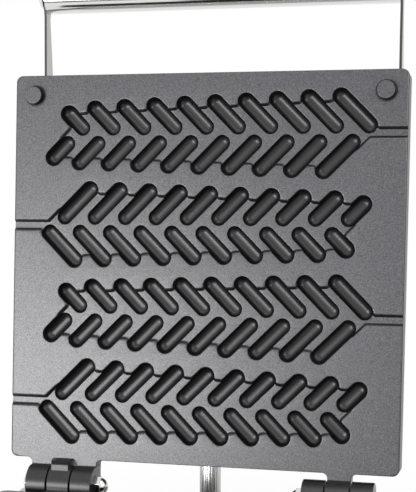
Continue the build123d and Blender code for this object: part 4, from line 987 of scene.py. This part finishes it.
def dial_marks(name, joint, labels, minor, look, ink):
    """The ticks and figures printed round one dial, clockwise from the top to the joint's limit."""
    step = math.radians(JOINTS[joint]["range_deg"][1]) / (len(labels) - 1)
    parts = []
    for index, label in enumerate(labels):
        turn = index * step
        spot = Vector((math.sin(turn), math.cos(turn), 0)) * look.figure_radius
        parts.append(moved(figure(label, look.figure_height, look.print_height), Matrix.Translation(spot)))
    ring = ring_growth()
    for half, share, count, every in (
        (TICK_HALF, 1.0, len(labels), 1),
        (SHORT_TICK_HALF, SHORT_TICK_SHARE, (len(labels) - 1) * minor, minor),
    ):
        length = share * look.tick_length
        tick = box_piece("tick", (-half, 0, 0), (half, length, look.print_height))
        parts.append(ring.fill(
            "ticks", tick, count=count, radius=look.tick_radius,
            step=step / every, leave_out_every=every, material=ink,
        ))
    return dress(moved(join(name, parts), on_panel(joint)), ink, "base")


class WAFFLE_OT_dials(bpy.types.Operator):
    """Makes the two knobs with flutes and pointers, and the marks round them"""

    bl_idname = "waffle.dials"
    bl_label = "Dials"

    def execute(self, context):
        look = context.scene.waffle_controls
        plastic = moulded("knob_plastic", look.plastic, roughness=0.42, grain=2600.0, depth=0.000015)
        white = printed("pointer_ink", (0.8, 0.8, 0.78))
        ink = printed("panel_ink", (0.02, 0.02, 0.022))
        ring = ring_growth()
        for node, joint in (("temperature_knob", "temperature_dial"), ("timer_knob", "timer_dial")):
            finish_nodes(plastic, 0.0005, node, segments=3)
            flute = box_piece("flute", FLUTE_LOW, FLUTE_HIGH, edge=0.0002)
            flutes = ring.fill(
                node + "_flutes", flute, count=KNOB_FLUTES, radius=KNOB_SKIRT_RADIUS - FLUTE_SINK,
                step=2 * math.pi / KNOB_FLUTES, leave_out_every=1, material=plastic,
            )
            smooth(flutes.data)
            dress(moved(flutes, on_panel(joint)), plastic, body_of(node), slot_of(node))
            low = (-POINTER_HALF, POINTER_INNER, KNOB_TOP - INK_ROOT)
            high = (POINTER_HALF, POINTER_OUTER, KNOB_TOP + INK_TOP)
            bar = box_piece(node + "_pointer", low, high, edge=0.0001)
            dress(moved(bar, on_panel(joint)), white, body_of(node))
        if look.marks:
            temperatures = [str(50 * i) for i in range(7)]
            minutes = [str(i) for i in range(6)]
            dial_marks("temperature_marks", "temperature_dial", temperatures, 5, look, ink)
            dial_marks("timer_marks", "timer_dial", minutes, 4, look, ink)
        return {"FINISHED"}


class WAFFLE_OT_switch(bpy.types.Operator):
    """Finishes the rocker switch with its I and O, and the two pilot lamps"""

    bl_idname = "waffle.switch"
    bl_label = "Switch and lamps"

    def execute(self, context):
        look = context.scene.waffle_controls
        gloss = moulded("switch_gloss", look.plastic, roughness=0.2, grain=1800.0, depth=0.000006, coat=0.4)
        matt = moulded("holder_plastic", look.plastic, roughness=0.4, grain=2400.0, depth=0.000015)
        white = printed("switch_ink", (0.82, 0.82, 0.8))
        finish_nodes(matt, 0.0004, "power_switch_body", segments=3)
        finish_nodes(gloss, 0.0005, "power_rocker", segments=3)
        tipped = on_panel("power_rocker_tilt") @ Matrix.Rotation(ROCKER_TILT, 4, "X")
        half = ROCKER_BAR_HALF
        bar = box_piece("bar", (-half, -0.0023, -INK_ROOT), (half, 0.0023, INK_TOP))
        profile = ring_profile(ROCKER_RING_INNER, ROCKER_RING_OUTER, -INK_ROOT, INK_TOP)
        ring = lathe("ring", profile, 40)
        marks = []
        for piece, side in ((bar, 1), (ring, -1)):
            out = ROCKER_MARK_OUT * side
            height = ROCKER_VALLEY + ROCKER_MARK_OUT * math.tan(ROCKER_TILT)
            slope = Matrix.Rotation(ROCKER_TILT * side, 4, "X")
            marks.append(moved(piece, tipped @ Matrix.Translation((0, out, height)) @ slope))
        dress(join("rocker_marks", marks), white, "power_rocker")
        for name, colour in (("power_lamp", look.green), ("heating_lamp", look.amber)):
            finish_nodes(matt, 0.0003, name + "_holder")
            finish_nodes(lens_plastic(name + "_glass", colour), 0.0002, name + "_lens")
        return {"FINISHED"}


def ring_profile(inner, outer, low, high):
    """A closed profile of a flat ring."""
    return [(inner, low), (outer, low), (outer, high), (inner, high), (inner, low)]


def screw_copy(name, head_radius, head_height, shank_radius, length, recess):
    """A screw along Z, its shank below 0 and its head above, with a recess cut in the head."""
    crown = floor = head_height * 0.35
    above = head_height + 0.001
    tip = head_height - length
    shoulder = arc_points((head_radius - crown, head_height - crown), crown, 0, 70, 5)
    profile = [(0, tip), (shank_radius, tip), (shank_radius, 0), (head_radius, 0)]
    screw = lathe(name, profile + shoulder + [(0, head_height)], 32)
    if recess == "hex":
        return cut(screw, [prism("socket", 6, head_radius * 0.55, floor, above)])
    arm, half = head_radius * 0.58, head_radius * 0.13
    return cut(screw, [
        box_piece("arm", (-x, -y, floor), (x, y, above)) for x, y in ((arm, half), (half, arm))
    ])


class WAFFLE_OT_fasteners(bpy.types.Operator):
    """Makes the shell screws with crossed recesses and the strap bolts with hex sockets"""

    bl_idname = "waffle.fasteners"
    bl_label = "Fasteners"

    def execute(self, context):
        steel = context.scene.waffle_steel
        bright = polished_steel("screw_polish", steel.polish, 0.2)
        row = row_growth()
        for node, outward, in_line in (
            ("upper_shell_screws", -LID_NORMAL, LID_FORWARD), ("lower_shell_screws", -UP, Vector((0, -1, 0)))
        ):
            self.pairs(node, (outward, outward), in_line, SHELL_SCREW, "cross", row, bright)
        sides = (-ACROSS, ACROSS)
        self.pairs("handle_strap_bolts", sides, LID_FORWARD, STRAP_BOLT, "hex", row, bright, nuts=True)
        return {"FINISHED"}

    def pairs(self, node, outwards, in_line, sizes, recess, row, material, nuts=False):
        """Two equal screws on the left and two on the right, which stand in for one node."""
        head_radius, head_height, shank_radius = sizes
        made = []
        for side, outward in zip((-1, 1), outwards):
            ends = [end for end in solid_ends(node, outward) if end[0].x * side > 0]
            ends.sort(key=lambda end: end[0].dot(in_line))
            (first, length), (second, _) = ends[:2]
            copy = screw_copy("screw", head_radius, head_height, shank_radius, length, recess)
            if nuts:
                high = -STRAP_THICKNESS - SHELL_SHEET
                nut = prism("nut", 6, STRAP_NUT_RADIUS, high - STRAP_NUT_HEIGHT, high)
                copy = join("bolt with nut", [copy, nut])
            gap = (second - first).length
            piece = row.fill("row", copy, count=2, step=(0, gap, 0), material=material)
            made.append(moved(piece, frame_at(first - outward * head_height, outward, in_line)))
        piece = join(node + "_finished", made)
        smooth(piece.data)
        stand_in(piece, node, material)


class WAFFLE_OT_inner_works(bpy.types.Operator):
    """Gives the pieces inside the shells and the base their materials"""

    bl_idname = "waffle.inner_works"
    bl_label = "Inner works"

    def execute(self, context):
        steel = context.scene.waffle_steel
        controls = context.scene.waffle_controls
        plastic = moulded("inner_plastic", controls.plastic, roughness=0.5, grain=1800.0, depth=0.00003)
        made = {
            "heater_sheath": oxidised_sheath("heater_sheath"),
            "zinc_steel": plated_steel("inner_plating", steel.zinc, steel.zinc_roughness),
            "ceramic": glazed("terminal_glaze", (0.82, 0.8, 0.74)),
            "ceramic_fibre": fibre_pad("fibre_pad", (0.84, 0.83, 0.79)),
            "black_plastic": plastic,
            "stainless_sheet": brushed_steel("inner_sheet", steel.sheet, steel.sheet_roughness),
            "polished_steel": polished_steel("inner_polish", steel.polish, steel.polish_roughness),
        }
        stood_for = {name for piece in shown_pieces() for name in piece.get("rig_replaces", [])}
        for node, piece in frame["nodes"].items():
            if node not in stood_for:
                only_material(piece, made[slot_of(node)])
        return {"FINISHED"}


def plane(name, half):
    work = bmesh.new()
    bmesh.ops.create_grid(work, x_segments=1, y_segments=1, size=half)
    return from_bmesh(name, work)


def floor_material(colour):
    """A pale floor: plain to the lamps, close to white where the camera sees it, and white far off."""
    finish = Finish("floor", {"Roughness": 0.9, "Specular IOR Level": 0.0})
    speckle = finish.noise(finish.place(), 40.0)
    finish.set("Base Color", finish.mix(speckle, colour, scaled(colour, 1.02)))
    glow = finish.add("ShaderNodeEmission", {}, {"Color": (1, 1, 1, 1), "Strength": 1.0})
    reach = finish.vector("LENGTH", finish.place(), output="Value")
    glow_share = 0.84 + finish.rise(reach, FLOOR_GREY_TO, FLOOR_WHITE_FROM) * 0.16
    factor = finish.seen_by("Camera", "Glossy") * glow_share
    body = Link(finish, finish.shader.outputs[0])
    mixed = finish.add("ShaderNodeMixShader", {}, {0: factor, 1: body, 2: glow})
    output = finish.tree.nodes["Material Output"]
    finish.feed(output.inputs["Surface"], mixed)
    return finish.material


class WAFFLE_OT_stage(bpy.types.Operator):
    """Sets the floor, the world, the lamps and the camera"""

    bl_idname = "waffle.stage"
    bl_label = "Stage"

    def execute(self, context):
        look = context.scene.waffle_stage
        scene = context.scene
        scene.view_settings.view_transform = "Standard"
        floor = plane("floor", FLOOR_HALF)
        only_material(floor, floor_material(look.floor))
        floor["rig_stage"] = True
        self.world(scene, look)
        for name, (place, aim, size) in LAMPS.items():
            self.lamp(name, place, aim, size, getattr(look, name + "_power"))
        self.flag()
        self.camera(scene, look)
        return {"FINISHED"}

    def world(self, scene, look):
        """White where the camera and reflections see it, grey as a light."""
        world = bpy.data.worlds.new("studio")
        world.use_nodes = True
        scene.world = world
        graph = Graph(world.node_tree)
        shade = world.node_tree.nodes["Background"]
        white = graph.seen_by("Camera", "Glossy", "Transmission")
        graph.feed(shade.inputs["Color"], (1, 1, 1, 1))
        graph.feed(shade.inputs["Strength"], white * (1 - look.ambient) + look.ambient)

    def lamp(self, name, place, aim, size, power):
        data = bpy.data.lights.new(name, "AREA")
        data.shape = "RECTANGLE"
        data.size, data.size_y = size
        data.energy = power
        lamp = new_object(name, data)
        lamp.location = place
        lamp.rotation_euler = (Vector(aim) - Vector(place)).to_track_quat("-Z", "Y").to_euler()

    def flag(self):
        """A black card below the camera, which gives round steel its dark lower band."""
        card = plane("flag", 0.5)
        moved(card, Matrix.Translation((0, -0.95, 0.02)) @ Matrix.Diagonal((1.6, 0.5, 1, 1)))
        finish = Finish("flag", {"Base Color": (0.01, 0.01, 0.01), "Roughness": 1.0})
        only_material(card, finish.material)
        card.visible_camera = False
        card.visible_diffuse = False
        card.visible_shadow = False
        card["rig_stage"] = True

    def camera(self, scene, look):
        data = bpy.data.cameras.new("camera")
        data.sensor_width = 36.0
        data.lens = look.focal_pixels / PICTURE_HEIGHT * data.sensor_width
        data.shift_y = PRINCIPAL_Y / PICTURE_HEIGHT - 0.5
        data.clip_start = 0.05
        camera = new_object("camera", data)
        camera.location = CAMERA_PLACE
        camera.rotation_euler = [math.radians(angle) for angle in CAMERA_TURN]
        scene.camera = camera


class WAFFLE_PT_sidebar(bpy.types.Panel):
    """Lists the looks and the steps."""

    bl_label = "Waffle Stick Maker"
    bl_space_type = "VIEW_3D"
    bl_region_type = "UI"
    bl_category = "Waffle Maker"

    def draw(self, context):
        for group in SETTINGS:
            box = self.layout.box()
            box.label(text=group.__doc__)
            settings = getattr(context.scene, SETTINGS[group])
            for name in group.__annotations__:
                box.prop(settings, name)
        for operator in OPERATORS:
            self.layout.operator(operator.bl_idname)


SETTINGS = {
    CastingLook: "waffle_casting",
    SteelLook: "waffle_steel",
    ControlLook: "waffle_controls",
    StageLook: "waffle_stage",
}
OPERATORS = (
    WAFFLE_OT_stage,
    WAFFLE_OT_castings,
    WAFFLE_OT_handle,
    WAFFLE_OT_hinges,
    WAFFLE_OT_conduit,
    WAFFLE_OT_base_box,
    WAFFLE_OT_dials,
    WAFFLE_OT_switch,
    WAFFLE_OT_fasteners,
    WAFFLE_OT_inner_works,
)


def register():
    for group, name in SETTINGS.items():
        bpy.utils.register_class(group)
        setattr(bpy.types.Scene, name, PointerProperty(type=group))
    for operator in OPERATORS:
        bpy.utils.register_class(operator)
    bpy.utils.register_class(WAFFLE_PT_sidebar)


def unregister():
    bpy.utils.unregister_class(WAFFLE_PT_sidebar)
    for operator in reversed(OPERATORS):
        bpy.utils.unregister_class(operator)
    for group, name in SETTINGS.items():
        delattr(bpy.types.Scene, name)
        bpy.utils.unregister_class(group)


def main():
    register()
    for operator in OPERATORS:
        group, step = operator.bl_idname.split(".")
        getattr(getattr(bpy.ops, group), step)()


if __name__ == "__main__":
    main()
